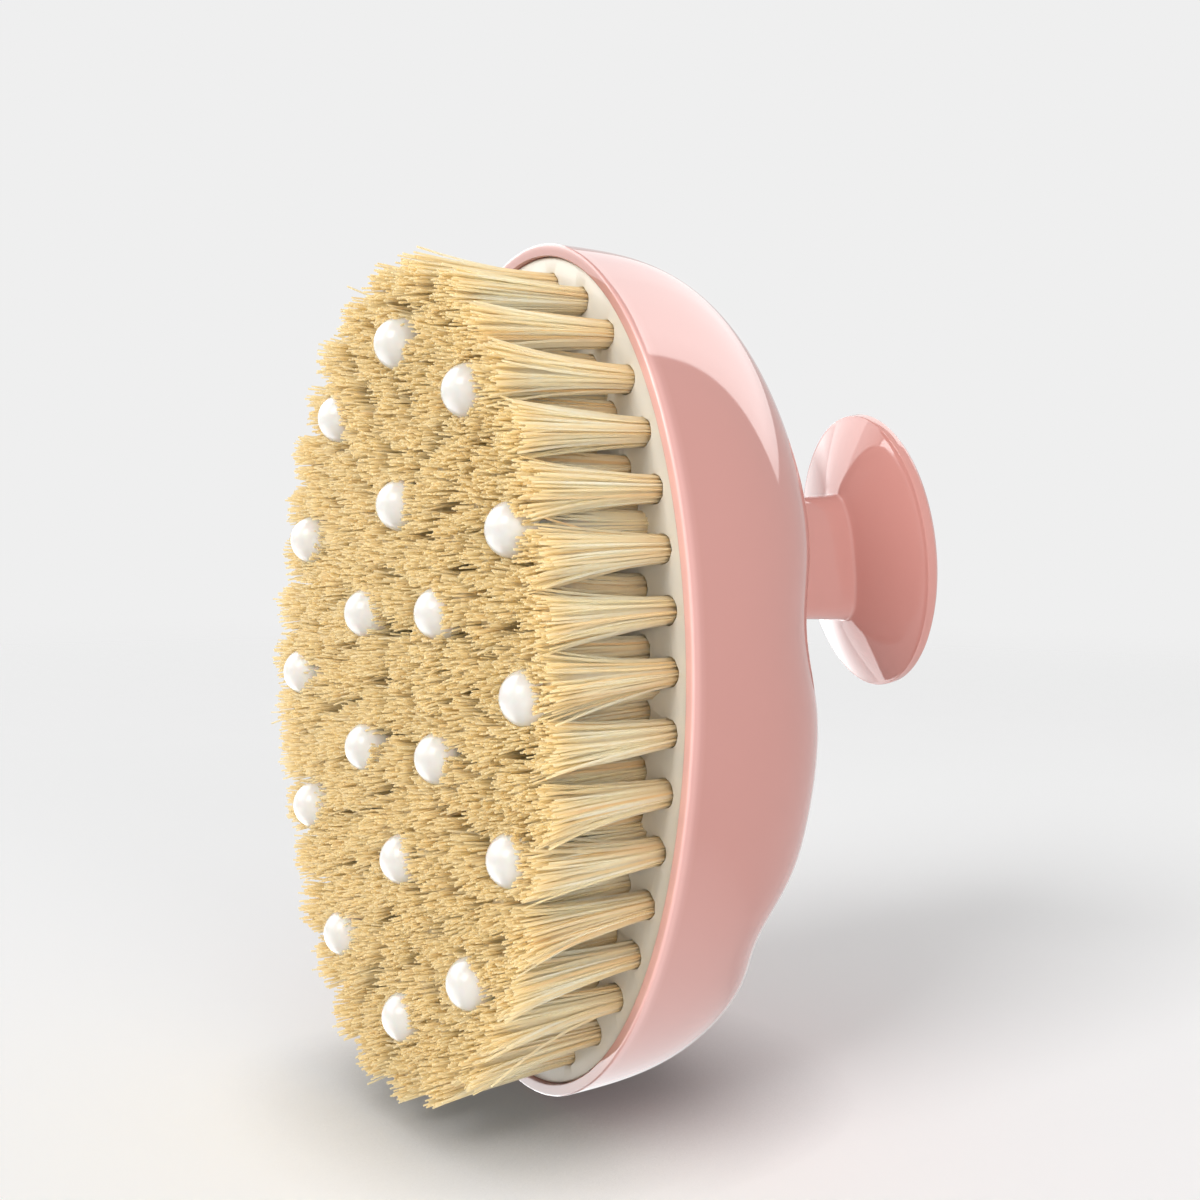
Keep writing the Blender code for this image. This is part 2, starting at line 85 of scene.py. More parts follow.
def linear(colour: str) -> tuple[float, float, float, float]:
    """Turn an sRGB hex colour to linear values.

    Args:
        colour: Six hex digits after a hash sign.

    Returns:
        Linear red, green and blue, and an alpha of 1.
    """
    values = [int(colour[at : at + 2], 16) / 255.0 for at in (1, 3, 5)]
    low_end, low_slope, offset, power = 0.04045, 12.92, 0.055, 2.4
    red, green, blue = (
        value / low_slope if value <= low_end else ((value + offset) / (1.0 + offset)) ** power
        for value in values
    )
    return red, green, blue, 1.0


def add_node(
    tree: Tree, kind: str, settings: Optional[dict] = None, inputs: Optional[dict] = None
) -> bpy.types.Node:
    """Add a node to a tree with its settings, values and links.

    Args:
        tree: The node tree.
        kind: The node's type.
        settings: Properties of the node by name.
        inputs: For each input socket, by name or number, a value or the output socket that feeds it.

    Returns:
        The new node.
    """
    node = tree.nodes.new(kind)
    for name, value in (settings or {}).items():
        setattr(node, name, value)
    for key, value in (inputs or {}).items():
        if isinstance(value, Socket):
            tree.links.new(value, node.inputs[key])
        else:
            node.inputs[key].default_value = value
    return node


def new_material(name: str) -> tuple[Material, Tree]:
    """Make a material with an empty node tree.

    Args:
        name: The material's name.

    Returns:
        The material and its tree.
    """
    material = bpy.data.materials.new(name)
    material.use_nodes = True
    material.node_tree.nodes.clear()
    return material, material.node_tree


@dataclass(frozen=True)
class Finish:
    """What every finish has: its material's name, its colour and the shade that the colour drifts to."""

    name: str
    colour: str
    shade: str

    def material(self) -> Material:
        """Make the material.

        Returns:
            The material, with the nodes of the finish.
        """
        material, tree = new_material(self.name)
        place = add_node(tree, "ShaderNodeTexCoord").outputs["Object"]
        add_node(tree, "ShaderNodeOutputMaterial", inputs={"Surface": self.surface(tree, place)})
        return material

    def surface(self, tree: Tree, place: Socket) -> Socket:
        """Return the shader at each place, which each kind of finish makes in its own way."""
        raise NotImplementedError

    def shader(
        self,
        tree: Tree,
        drift: Socket,
        dulling: Socket,
        rough: Pair,
        others: dict,
        edge: Optional[str] = None,
    ) -> Socket:
        """Make a shader whose colour and roughness follow patterns.

        Args:
            tree: The material's tree.
            drift: The pattern that leads from the colour to the shade.
            dulling: The pattern that leads from the least to the greatest roughness.
            rough: The least and the greatest roughness.
            others: The shader's other inputs.
            edge: The colour of the painted highlight on the lip, if the piece has one.

        Returns:
            The shader's socket.
        """
        rgb = {"data_type": "RGBA"}
        colours = {0: drift, 6: linear(self.colour), 7: linear(self.shade)}
        colour = add_node(tree, "ShaderNodeMix", rgb, colours).outputs[2]
        # Painted highlight: a paler colour is mixed in on the lip, by the share stored on the shell's points.
        if edge:
            share = add_node(tree, "ShaderNodeAttribute", {"attribute_name": "lip_highlight_share"}).outputs["Fac"]
            colour = add_node(tree, "ShaderNodeMix", rgb, {0: share, 6: colour, 7: linear(edge)}).outputs[2]
        levels = {"Value": dulling, "To Min": rough[0], "To Max": rough[1]}
        roughness = add_node(tree, "ShaderNodeMapRange", inputs=levels).outputs["Result"]
        inputs = {"Base Color": colour, "Roughness": roughness, **others}
        return add_node(tree, "ShaderNodeBsdfPrincipled", inputs=inputs).outputs["BSDF"]


@dataclass(frozen=True)
class MouldedAbs(Finish):
    """Polished ABS from a steel mould: a smooth skin with sharp reflections, very slightly wavy.

    The waves are some 6 mm long and a few thousandths of a millimetre deep, so straight reflections bend a
    little, and a faint flow of the pigment changes the colour by one or two levels.
    """

    roughness: Pair = (0.035, 0.065)
    ior: float = 1.53
    wave_mm: float = 6.0
    wave_depth_mm: float = 0.003
    flow_mm: float = 24.0
    # The colour of the painted highlight on the lip, or None for a piece without it.
    lip_highlight_colour: Optional[str] = None

    def surface(self, tree: Tree, place: Socket) -> Socket:
        """Make the shader.

        Args:
            tree: The material's tree.
            place: Where on the piece it is.

        Returns:
            The shader's socket.
        """
        streaks = {"Vector": place, "Scale": 1.0 / (self.flow_mm * MM), "Detail": 2.0, "Distortion": 0.6}
        flow = add_node(tree, "ShaderNodeTexNoise", inputs=streaks).outputs["Fac"]
        waves = {"Vector": place, "Scale": 1.0 / (self.wave_mm * MM), "Detail": 1.0}
        wave = add_node(tree, "ShaderNodeTexNoise", inputs=waves).outputs["Fac"]
        relief = {"Strength": 1.0, "Distance": self.wave_depth_mm * MM, "Height": wave}
        bump = add_node(tree, "ShaderNodeBump", inputs=relief).outputs["Normal"]
        others = {"IOR": self.ior, "Normal": bump}
        return self.shader(tree, flow, flow, self.roughness, others, self.lip_highlight_colour)


@dataclass(frozen=True)
class PadPolypropylene(Finish):
    """Unpolished polypropylene: a soft satin skin, with the fine grain of the mould."""

    roughness: Pair = (0.37, 0.47)
    ior: float = 1.49
    specular: float = 0.3
    grain_mm: float = 0.45
    grain_depth_mm: float = 0.012
    cloud_mm: float = 14.0

    def surface(self, tree: Tree, place: Socket) -> Socket:
        """Make the shader.

        Args:
            tree: The material's tree.
            place: Where on the piece it is.

        Returns:
            The shader's socket.
        """
        clouds = {"Vector": place, "Scale": 1.0 / (self.cloud_mm * MM), "Detail": 3.0}
        cloud = add_node(tree, "ShaderNodeTexNoise", inputs=clouds).outputs["Fac"]
        grains = {"Vector": place, "Scale": 1.0 / (self.grain_mm * MM), "Detail": 2.0}
        grain = add_node(tree, "ShaderNodeTexNoise", inputs=grains).outputs["Fac"]
        relief = {"Strength": 0.6, "Distance": self.grain_depth_mm * MM, "Height": grain}
        bump = add_node(tree, "ShaderNodeBump", inputs=relief).outputs["Normal"]
        others = {"IOR": self.ior, "Specular IOR Level": self.specular, "Normal": bump}
        return self.shader(tree, cloud, grain, self.roughness, others)


@dataclass(frozen=True)
class TumbledNylon(Finish):
    """Tumbled white nylon: rounded and smooth, with a soft highlight and a little light inside."""

    roughness: Pair = (0.21, 0.29)
    ior: float = 1.52
    cloud_mm: float = 2.2
    inner_light: float = 0.15
    inner_reach_mm: float = 1.2

    def surface(self, tree: Tree, place: Socket) -> Socket:
        """Make the shader.

        Args:
            tree: The material's tree.
            place: Where on the piece it is.

        Returns:
            The shader's socket.
        """
        clouds = {"Vector": place, "Scale": 1.0 / (self.cloud_mm * MM), "Detail": 2.0}
        cloud = add_node(tree, "ShaderNodeTexNoise", inputs=clouds).outputs["Fac"]
        inside = {"Subsurface Weight": self.inner_light, "Subsurface Scale": self.inner_reach_mm * MM}
        return self.shader(tree, cloud, cloud, self.roughness, {"IOR": self.ior, **inside})


@dataclass(frozen=True)
class PlatedSteel(Finish):
    """Zinc-plated steel wire, rolled to a screw: bright metal, dulled in fine rings by the rolling."""

    roughness: Pair = (0.28, 0.4)
    ring_mm: float = 0.4

    def surface(self, tree: Tree, place: Socket) -> Socket:
        """Make the shader.

        Args:
            tree: The material's tree.
            place: Where on the piece it is.

        Returns:
            The shader's socket.
        """
        bands = {"Vector": place, "Scale": 1.0 / (self.ring_mm * MM), "Distortion": 0.4}
        rings = add_node(tree, "ShaderNodeTexWave", {"bands_direction": "Y"}, bands).outputs["Fac"]
        return self.shader(tree, rings, rings, self.roughness, {"Metallic": 1.0})


@dataclass(frozen=True)
class PlantFibre(Finish):
    """Bleached plant fibre, combed and cut: dull straw strands that pass some light.

    Each strand has its own tone, from pale straw to ochre, darkens towards its root and is golden towards its
    cut tip. The meshes hold the tone and the share of the way up as the attributes strand_tone and
    strand_share. The colours are paler than a tuft looks, because light bounces from strand to strand. The
    colour is that of a middling strand, and the shade that of an ochre one.
    """

    pale: str
    root: str
    tip: str
    middling_tone: float = 0.45
    root_reach: float = 0.5
    root_share: float = 0.4
    fleck_mm: float = 1.1
    fleck_span: Pair = (0.45, 0.8)
    fleck_share: float = 0.22
    tip_from: float = 0.76
    tip_share: float = 0.85
    roughness: float = 0.5
    ior: float = 1.5
    let_through: float = 0.68

    def surface(self, tree: Tree, place: Socket) -> Socket:
        """Make the shader.

        Args:
            tree: The material's tree.
            place: Where on the piece it is.

        Returns:
            The shader's socket.
        """
        rgb = {"data_type": "RGBA"}
        tone, share = (
            add_node(tree, "ShaderNodeAttribute", {"attribute_name": title}).outputs["Fac"]
            for title in ("strand_tone", "strand_share")
        )
        ramp = add_node(tree, "ShaderNodeValToRGB", inputs={"Fac": tone})
        ramp.color_ramp.elements[0].color = linear(self.shade)
        ramp.color_ramp.elements[1].color = linear(self.pale)
        ramp.color_ramp.elements.new(self.middling_tone).color = linear(self.colour)
        flecks = {"Vector": place, "Scale": 1.0 / (self.fleck_mm * MM), "Detail": 2.0}
        fleck = add_node(tree, "ShaderNodeTexNoise", inputs=flecks).outputs["Fac"]
        least, most = self.fleck_span
        rootward, flecked, tipward = (
            add_node(tree, "ShaderNodeMapRange", inputs=levels).outputs["Result"]
            for levels in (
                {"Value": share, "From Max": self.root_reach, "To Min": self.root_share, "To Max": 0.0},
                {"Value": fleck, "From Min": least, "From Max": most, "To Max": self.fleck_share},
                {"Value": share, "From Min": self.tip_from, "To Max": self.tip_share},
            )
        )
        darker = add_node(tree, "ShaderNodeMath", {"operation": "MAXIMUM"}, {0: rootward, 1: flecked})
        colour = ramp.outputs["Color"]
        for amount, other in ((darker.outputs["Value"], self.root), (tipward, self.tip)):
            colour = add_node(tree, "ShaderNodeMix", rgb, {0: amount, 6: colour, 7: linear(other)}).outputs[2]
        skin = {"Base Color": colour, "Roughness": self.roughness, "IOR": self.ior}
        front = add_node(tree, "ShaderNodeBsdfPrincipled", inputs=skin).outputs["BSDF"]
        through = add_node(tree, "ShaderNodeBsdfTranslucent", inputs={"Color": colour}).outputs["BSDF"]
        both = {0: self.let_through, 1: front, 2: through}
        return add_node(tree, "ShaderNodeMixShader", inputs=both).outputs["Shader"]


def oval(
    half_width: float, half_length: float, sides: int, power: float = 2.0, middle: Triple = (0.0, 0.0, 0.0)
) -> Ring:
    """Return points round an oval that lies level with the pad.

    Args:
        half_width: Half of its size along X.
        half_length: Half of its size along Z.
        sides: The number of points.
        power: 2 for an ellipse, and more for an oval with flatter sides.
        middle: The place of its middle.

    Returns:
        An array of (x, y, z) rows.
    """
    turn = np.linspace(0.0, FULL_TURN, sides, endpoint=False)
    across, along = np.cos(turn), np.sin(turn)
    x = half_width * np.sign(across) * np.abs(across) ** (2.0 / power)
    z = half_length * np.sign(along) * np.abs(along) ** (2.0 / power)
    return np.stack([x, np.zeros(sides), z], axis=1) + np.array(middle)


def quarter(steps: int) -> list[Pair]:
    """Return 1 less the cosine and 1 less the sine, step by step through a quarter turn."""
    turns = [0.25 * FULL_TURN * step / steps for step in range(steps + 1)]
    return [(1.0 - math.cos(turn), 1.0 - math.sin(turn)) for turn in turns]


def directions(turn: np.ndarray) -> np.ndarray:
    """Return the unit vectors of some turns."""
    return np.stack([np.cos(turn), np.sin(turn)], axis=1)


def write_values(piece: Piece, title: str, values: np.ndarray) -> None:
    """Store a number for each point of a piece, which its finish reads.

    Args:
        piece: The piece.
        title: What the numbers are called.
        values: A number for each point.
    """
    attribute = piece.data.attributes.new(title, "FLOAT", "POINT")
    attribute.data.foreach_set("value", values.astype(np.float32))


class Skin:
    """Vertices and faces of a piece, gathered ring by ring."""

    def __init__(self) -> None:
        """Start an empty skin."""
        self.points: list[np.ndarray] = []
        self.faces: list[tuple[int, ...]] = []
        self.count = 0

    def add_points(self, points: np.ndarray) -> int:
        """Add points.

        Args:
            points: An array of (x, y, z) rows.

        Returns:
            The number of the first.
        """
        self.points.append(np.asarray(points, float))
        self.count += len(points)
        return self.count - len(points)

    def join(self, rings: Sequence[Ring], inward: bool = False) -> list[int]:
        """Add rings of equally many points and join them with faces.

        Args:
            rings: The rings in order.
            inward: True to turn the faces round.

        Returns:
            The number of each ring's first point.
        """
        starts = [self.add_points(ring) for ring in rings]
        sides = len(rings[0])
        for low, high in zip(starts, starts[1:]):
            for side in range(sides):
                after = (side + 1) % sides
                face = (low + side, low + after, high + after, high + side)
                self.faces.append(face[::-1] if inward else face)
        return starts

    def close(self, start: int, sides: int, middle: Sequence[float], inward: bool = False) -> None:
        """Close a ring with a fan of faces.

        Args:
            start: The number of the ring's first point.
            sides: The number of its points.
            middle: The place of the fan's middle.
            inward: True to turn the faces round.
        """
        hub = self.add_points(np.array([middle]))
        for side in range(sides):
            ends = (start + side, start + (side + 1) % sides)
            self.faces.append((*(ends[::-1] if inward else ends), hub))

    def loft(self, rings: Sequence[Ring]) -> None:
        """Add a closed form through rings of equally many points.

        Args:
            rings: The rings in order.
        """
        starts = self.join(rings)
        for end, inward in ((0, True), (-1, False)):
            self.close(starts[end], len(rings[end]), rings[end].mean(axis=0), inward)

    def piece(self, name: str, material: Material, slot: Slot, node: str, sharp: float = 40.0) -> Piece:
        """Make a piece that rides on the brush and stands for a CAD node.

        Args:
            name: The piece's name.
            material: Its material.
            slot: Not used.
            node: The CAD node that it replaces.
            sharp: The angle in degrees from which an edge is shaded as sharp.

        Returns:
            The new object.
        """
        mesh = bpy.data.meshes.new(name)
        points = np.concatenate(self.points) + np.array(HEAD_ORIGIN)
        mesh.from_pydata(points.tolist(), [], self.faces)
        mesh.materials.append(material)
        mesh.shade_smooth()
        mesh.set_sharp_from_angle(angle=math.radians(sharp))
        piece = bpy.data.objects.new(name, mesh)
        bpy.context.scene.collection.objects.link(piece)
        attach(piece, "root")
        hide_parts(node)
        LOG.info("%s: %d faces, stands for %s", name, len(self.faces), node)
        return piece


def head_origin() -> Vector:
    """Find the middle of the pad's front face in the CAD boxes.

    Returns:
        Its place in the world.
    """
    low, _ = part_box("bristle_pad")
    shell_low, shell_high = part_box("back_shell")
    return Vector((0.0, low.y, 0.5 * (shell_low.z + shell_high.z)))


HEAD_ORIGIN = head_origin()


@dataclass
class BackShell:
    """The glossy oval back with its lip, its two hollows and its hollow inside.

    Each hollow is given by its height above the head's middle, its depth and its spread. A painted highlight
    makes the lip paler than the back: lip_highlight_start and lip_highlight_step give how much of the
    highlight's colour the rings
    have there. The ends of the oval turn away from the bounce of the tufts, so the painted highlight fades
    there:
    the lip loses end_loss of it from end_height.
    """

    finish: MouldedAbs
    half_width: float = 37.5 * MM
    half_length: float = 62.5 * MM
    depth: float = 35.3 * MM
    wall: float = 2.4 * MM
    power: float = 3.32
    finger_hollow: Triple = (7.9 * MM, 3.6 * MM, 10.2 * MM)
    palm_hollow: Triple = (-37.2 * MM, 3.9 * MM, 7.3 * MM)
    seat: Pair = (35.9 * MM, 60.7 * MM)
    skirt_depth: float = 0.16 * MM
    lip_rise: float = 0.7 * MM
    lip_round: float = 0.4 * MM
    lip_inner_round: float = 0.25 * MM
    lip_steps: int = 8
    seat_depth: float = 5.8 * MM
    ledge_width: float = 1.6 * MM
    ledge_thickness: float = 1.5 * MM
    lip_highlight_start: Triple = (0.12, 0.45, 0.5)
    lip_highlight_step: float = 0.125
    end_height: float = 0.68
    end_reach: float = 0.22
    end_loss: float = 0.85
    sides: int = 256
    back_rings: int = 72
    inner_rings: int = 28

    def depth_at(self, height: np.ndarray, offset: float) -> np.ndarray:
        """Return how deep the back is over its middle line at each height.

        Args:
            height: Heights above the head's middle.
            offset: How far out of the outer skin to measure.

        Returns:
            The depths.
        """
        hollowed = sum(
            deep * np.exp(-(((height - middle) / spread) ** 2))
            for middle, deep, spread in (self.finger_hollow, self.palm_hollow)
        )
        return self.depth - hollowed + offset

    def shares(self, count: int) -> np.ndarray:
        """Space rings evenly along the back's curve.

        Args:
            count: The number of rings.

        Returns:
            How far out each ring is, from the middle of the back to its edge.
        """
        turn = np.linspace(0.0, 0.25 * FULL_TURN, 4001)
        out = np.sin(turn) ** (2.0 / self.power) * self.half_width
        back = np.cos(turn) ** (2.0 / self.power) * self.depth
        along = np.concatenate([[0.0], np.cumsum(np.hypot(np.diff(out), np.diff(back)))])
        wanted = np.linspace(0.0, along[-1], count + 1)[1:]
        return np.interp(wanted, along, out) / self.half_width

    def back_ring(self, share: float, width: float, length: float, offset: float) -> Ring:
        """Return a ring of the rounded back.

        Args:
            share: How far out the ring is.
            width: Half of the back's width.
            length: Half of its length.
            offset: How far the ring lies out of the outer skin.

        Returns:
            The ring.
        """
        ring = oval(width * share, length * share, self.sides)
        rise = max(0.0, 1.0 - share**self.power) ** (1.0 / self.power)
        ring[:, 1] = rise * self.depth_at(ring[:, 2], offset)
        return ring

    def lip_profile(self) -> list[Pair]:
        """Work out the lip's outline.

        Returns:
            Pairs of the share of the way in to the seat, and the depth.
        """
        across = 0.5 * (self.half_width - self.seat[0] + self.half_length - self.seat[1])
        turns = quarter(self.lip_steps)
        outer = [(self.lip_round * one, self.lip_round * other) for one, other in turns]
        inner = [(across - self.lip_inner_round * other, self.lip_inner_round * one) for one, other in turns]
        return [(inset / across, depth - self.lip_rise) for inset, depth in outer + inner]

    def build(self) -> Piece:
        """Build the shell.

        Returns:
            Its piece.
        """
        size = self.half_width, self.half_length
        rings = [self.back_ring(share, *size, 0.0) for share in self.shares(self.back_rings)]
        rings[-1][:, 1] = self.skirt_depth
        levels = [
            (size[0] + share * (self.seat[0] - size[0]), size[1] + share * (self.seat[1] - size[1]), depth)
            for share, depth in self.lip_profile()
        ]
        room_depth = self.seat_depth + self.ledge_thickness
        ledge = self.seat[0] - self.ledge_width, self.seat[1] - self.ledge_width
        inside = size[0] - self.wall, size[1] - self.wall
        levels += [(*self.seat, self.seat_depth), (*ledge, self.seat_depth), (*ledge, room_depth)]
        levels.append((*inside, room_depth + self.ledge_width))
        rings += [oval(wide, long, self.sides, middle=(0.0, depth, 0.0)) for wide, long, depth in levels]
        shares = self.shares(self.inner_rings)[:-1]
        rings += [self.back_ring(share, *inside, -self.wall) for share in reversed(shares)]
        skin = Skin()
        skin.loft(rings)
        piece = skin.piece("shell", self.finish.material(), Slot.PINK_SHELL, "back_shell")
        self.paint_lip_highlight(piece, len(rings))
        return piece

    def paint_lip_highlight(self, piece: Piece, ring_count: int) -> None:
        """Write how much of the painted highlight each point of the lip gets.

        Args:
            piece: The shell.
            ring_count: The number of its rings.
        """
        shares = np.zeros(ring_count)
        lip = np.arange(2 * (self.lip_steps + 1))
        shares[self.back_rings - 2 : self.back_rings] = self.lip_highlight_start[:2]
        shares[self.back_rings + lip] = np.clip(self.lip_highlight_start[2] + self.lip_highlight_step * lip, 0.0, 1.0)
        height = np.abs(oval(1.0, 1.0, self.sides)[:, 2])
        fall = np.clip((height - self.end_height) / self.end_reach, 0.0, 1.0)
        values = np.outer(shares, 1.0 - self.end_loss * fall).ravel()
        write_values(piece, "lip_highlight_share", np.concatenate([values, [0.0, 0.0]]))


@dataclass
class PlantingPlan:
    """Where the tufts and the nodules stand in the pad, and how they lean.

    Each ring of nodules is given by their number and by how far it lies from the pad's sides and ends.
    """

    half_width: float = 35.6 * MM
    half_length: float = 60.4 * MM
    edge_to_tufts: float = 4.0 * MM
    row_step: float = 6.0 * MM
    pitch: float = 8.1 * MM
    first_share: float = 0.0094
    bristle_length: float = 24.5 * MM
    lean_sideways: float = 0.16
    lean_lengthways: float = -0.02
    stem_clearance: float = 3.5 * MM
    tuft_clearance: float = 4.5 * MM
    spare: float = 0.01
    nodule_height: float = 22.0 * MM
    outer_nodules: NoduleRing = (12, 3.6 * MM, 13.5 * MM)
    inner_nodules: NoduleRing = (6, 24.2 * MM, 35.7 * MM)
    first_nodule_share: float = -0.006

    def walk(self, half_width: float, half_length: float) -> tuple[np.ndarray, np.ndarray, np.ndarray]:
        """Go round an oval from its top towards +X.

        Args:
            half_width: Half of its width.
            half_length: Half of its length.

        Returns:
            The x and z of each step, and how far it has come.
        """
        turn = np.linspace(0.0, FULL_TURN, 721)
        x, z = half_width * np.sin(turn), half_length * np.cos(turn)
        return x, z, np.concatenate([[0.0], np.cumsum(np.hypot(np.diff(x), np.diff(z)))])

    def spaced(self, sizes: Pair, count: int, first: float) -> list[Pair]:
        """Space roots evenly round an oval.

        Args:
            sizes: Half of its width and of its length.
            count: The number of roots.
            first: The first root's share of the way round.

        Returns:
            The (x, z) place of each root.
        """
        x, z, along = self.walk(*sizes)
        wanted = [(first + item / count) % 1.0 * along[-1] for item in range(count)]
        return list(zip(np.interp(wanted, along, x).tolist(), np.interp(wanted, along, z).tolist()))

    def spread(self, height: float | np.ndarray) -> tuple[float | np.ndarray, float | np.ndarray]:
        """Return by how much tufts stand wider and longer at a height than at their roots."""
        risen = height / self.bristle_length
        return 1.0 + self.lean_sideways * risen, 1.0 + self.lean_lengthways * risen

    def nodule_roots(self) -> list[Pair]:
        """Work out where the nodules stand.

        Returns:
            The root of each nodule, the outer ring first.
        """
        wider, longer = self.spread(self.nodule_height)
        roots = []
        for count, from_sides, from_ends in (self.outer_nodules, self.inner_nodules):
            sizes = self.half_width - from_sides, self.half_length - from_ends
            roots += self.spaced(sizes, count, self.first_nodule_share)
        return [(x / wider, z / longer) for x, z in roots]

    def rows(self) -> list[list[Pair]]:
        """Work out where the tufts stand.

        Returns:
            The roots of each row, the middle row last.
        """
        wide, long = self.half_width - self.edge_to_tufts, self.half_length - self.edge_to_tufts
        rows = []
        for row in range(int(wide / self.row_step)):
            sizes = wide - self.row_step * row, long - self.row_step * row
            count = round(float(self.walk(*sizes)[2][-1]) / self.pitch)
            rows.append(self.spaced(sizes, count, self.first_share + 0.5 * row / count))
        half = long - self.row_step * len(rows)
        spaces = round(2.0 * half / self.pitch)
        rows.append([(0.0, half * (2.0 * item / spaces - 1.0)) for item in range(spaces + 1)])
        return self.beside_stems(rows)

    def beside_stems(self, rows: list[list[Pair]]) -> list[list[Pair]]:
        """Move each root that is too near a nodule's stem along its row.

        Args:
            rows: The roots of each row, evenly spaced.

        Returns:
            The rows, without the few roots for which there is no room.
        """
        stems = self.nodule_roots()

        def apart(root: Pair, others: list[Pair]) -> float:
            """Return how far a root is from the nearest of some others."""
            return min(math.dist(root, other) for other in others)

        kept = [[root for root in row if apart(root, stems) >= self.stem_clearance] for row in rows]
        for row, clear in zip(rows, kept):
            for number, root in enumerate(row):
                if root in clear:
                    continue
                stem = np.array(min(stems, key=lambda at: math.dist(root, at)))
                along = np.array(row[(number + 1) % len(row)]) - np.array(row[number - 1])
                along /= np.linalg.norm(along)
                gap = np.array(root) - stem
                onward = float(gap @ along)
                off = gap - onward * along
                clearance = (1.0 + self.spare) * self.stem_clearance
                needed = math.sqrt(max(0.0, clearance**2 - float(off @ off)))
                for way in (math.copysign(needed, onward), -math.copysign(needed, onward)):
                    spot = tuple((stem + off + along * way).tolist())
                    others = [other for item in kept for other in item]
                    from_tufts, from_stems = apart(spot, others), apart(spot, stems)
                    if from_tufts >= self.tuft_clearance and from_stems >= self.stem_clearance:
                        clear.append(spot)
                        break
        return kept


@dataclass
class BristlePad:
    """The cream plate in the shell's mouth, with a chamfered hole for each tuft.

    The edge and the chamfers bend once on their way: edge_middle and chamfer_middle say where, as shares of
    their size.
    """

    finish: PadPolypropylene
    plan: PlantingPlan
    half_width: float = 35.85 * MM
    half_length: float = 60.65 * MM
    thickness: float = 5.5 * MM
    edge_round: float = 0.25 * MM
    edge_middle: float = 0.3
    hole_radius: float = 2.0 * MM
    chamfer: float = 0.16 * MM
    chamfer_middle: float = 0.35
    hole_depth: float = 2.4 * MM
    sides: int = 240
    hole_sides: int = 32

    def build(self) -> Piece:
        """Build the pad.

        Returns:
            Its piece.
        """
        skin = Skin()
        edge, radius, chamfer = self.edge_round, self.hole_radius, self.chamfer
        bend = self.edge_middle * edge
        profile = ((edge, 0.0), (bend, bend), (0.0, edge), (0.0, self.thickness))
        starts = skin.join(
            [
                oval(self.half_width - inset, self.half_length - inset, self.sides, middle=(0.0, depth, 0.0))
                for inset, depth in profile
            ],
            inward=True,
        )
        skin.close(starts[-1], self.sides, (0.0, self.thickness, 0.0), inward=True)
        roots = [root for row in self.plan.rows() for root in row]
        loops = [list(range(starts[0], starts[0] + self.sides))]
        bend = self.chamfer_middle * chamfer
        profile = ((radius + chamfer, 0.0), (radius + bend, bend), (radius, chamfer), (radius, self.hole_depth))
        for x, z in roots:
            rims = skin.join(
                [oval(wide, wide, self.hole_sides, middle=(x, depth, z)) for wide, depth in profile]
            )
            loops.append(list(range(rims[0], rims[0] + self.hole_sides)))
            skin.close(rims[-1], self.hole_sides, (x, self.hole_depth, z))
        self.add_front(skin, loops, np.array(roots))
        return skin.piece("pad", self.finish.material(), Slot.CREAM_PAD, "bristle_pad", sharp=50.0)

    def add_front(self, skin: Skin, loops: list[list[int]], roots: np.ndarray) -> None:
        """Fill the pad's front face between its edge and the rims of its holes.

        Args:
            skin: The pad's skin, which holds the loops' points.
            loops: The points of the edge and of each rim.
            roots: The middle of each hole.
        """
        points = np.concatenate(skin.points)
        flat, edges = [], []
        for loop in loops:
            first = len(flat)
            flat += [Vector((points[at][0], points[at][2])) for at in loop]
            edges += [(first + at, first + (at + 1) % len(loop)) for at in range(len(loop))]
        names = [at for loop in loops for at in loop]
        inside_only, tolerance = 1, 1e-7
        found = delaunay_2d_cdt(flat, edges, [list(range(len(loops[0])))], inside_only, tolerance)
        corners, triangles, sources = found[0], found[2], found[3]
        for triangle in triangles:
            centre = sum((corners[at] for at in triangle), Vector((0.0, 0.0))) / len(triangle)
            if (np.hypot(roots[:, 0] - centre.x, roots[:, 1] - centre.y) < self.hole_radius).any():
                continue
            first, second, third = (corners[at] for at in triangle)
            turning = (second - first).cross(third - first)
            order = triangle if turning > 0.0 else list(reversed(triangle))
            skin.faces.append(tuple(names[sources[at][0]] for at in order))


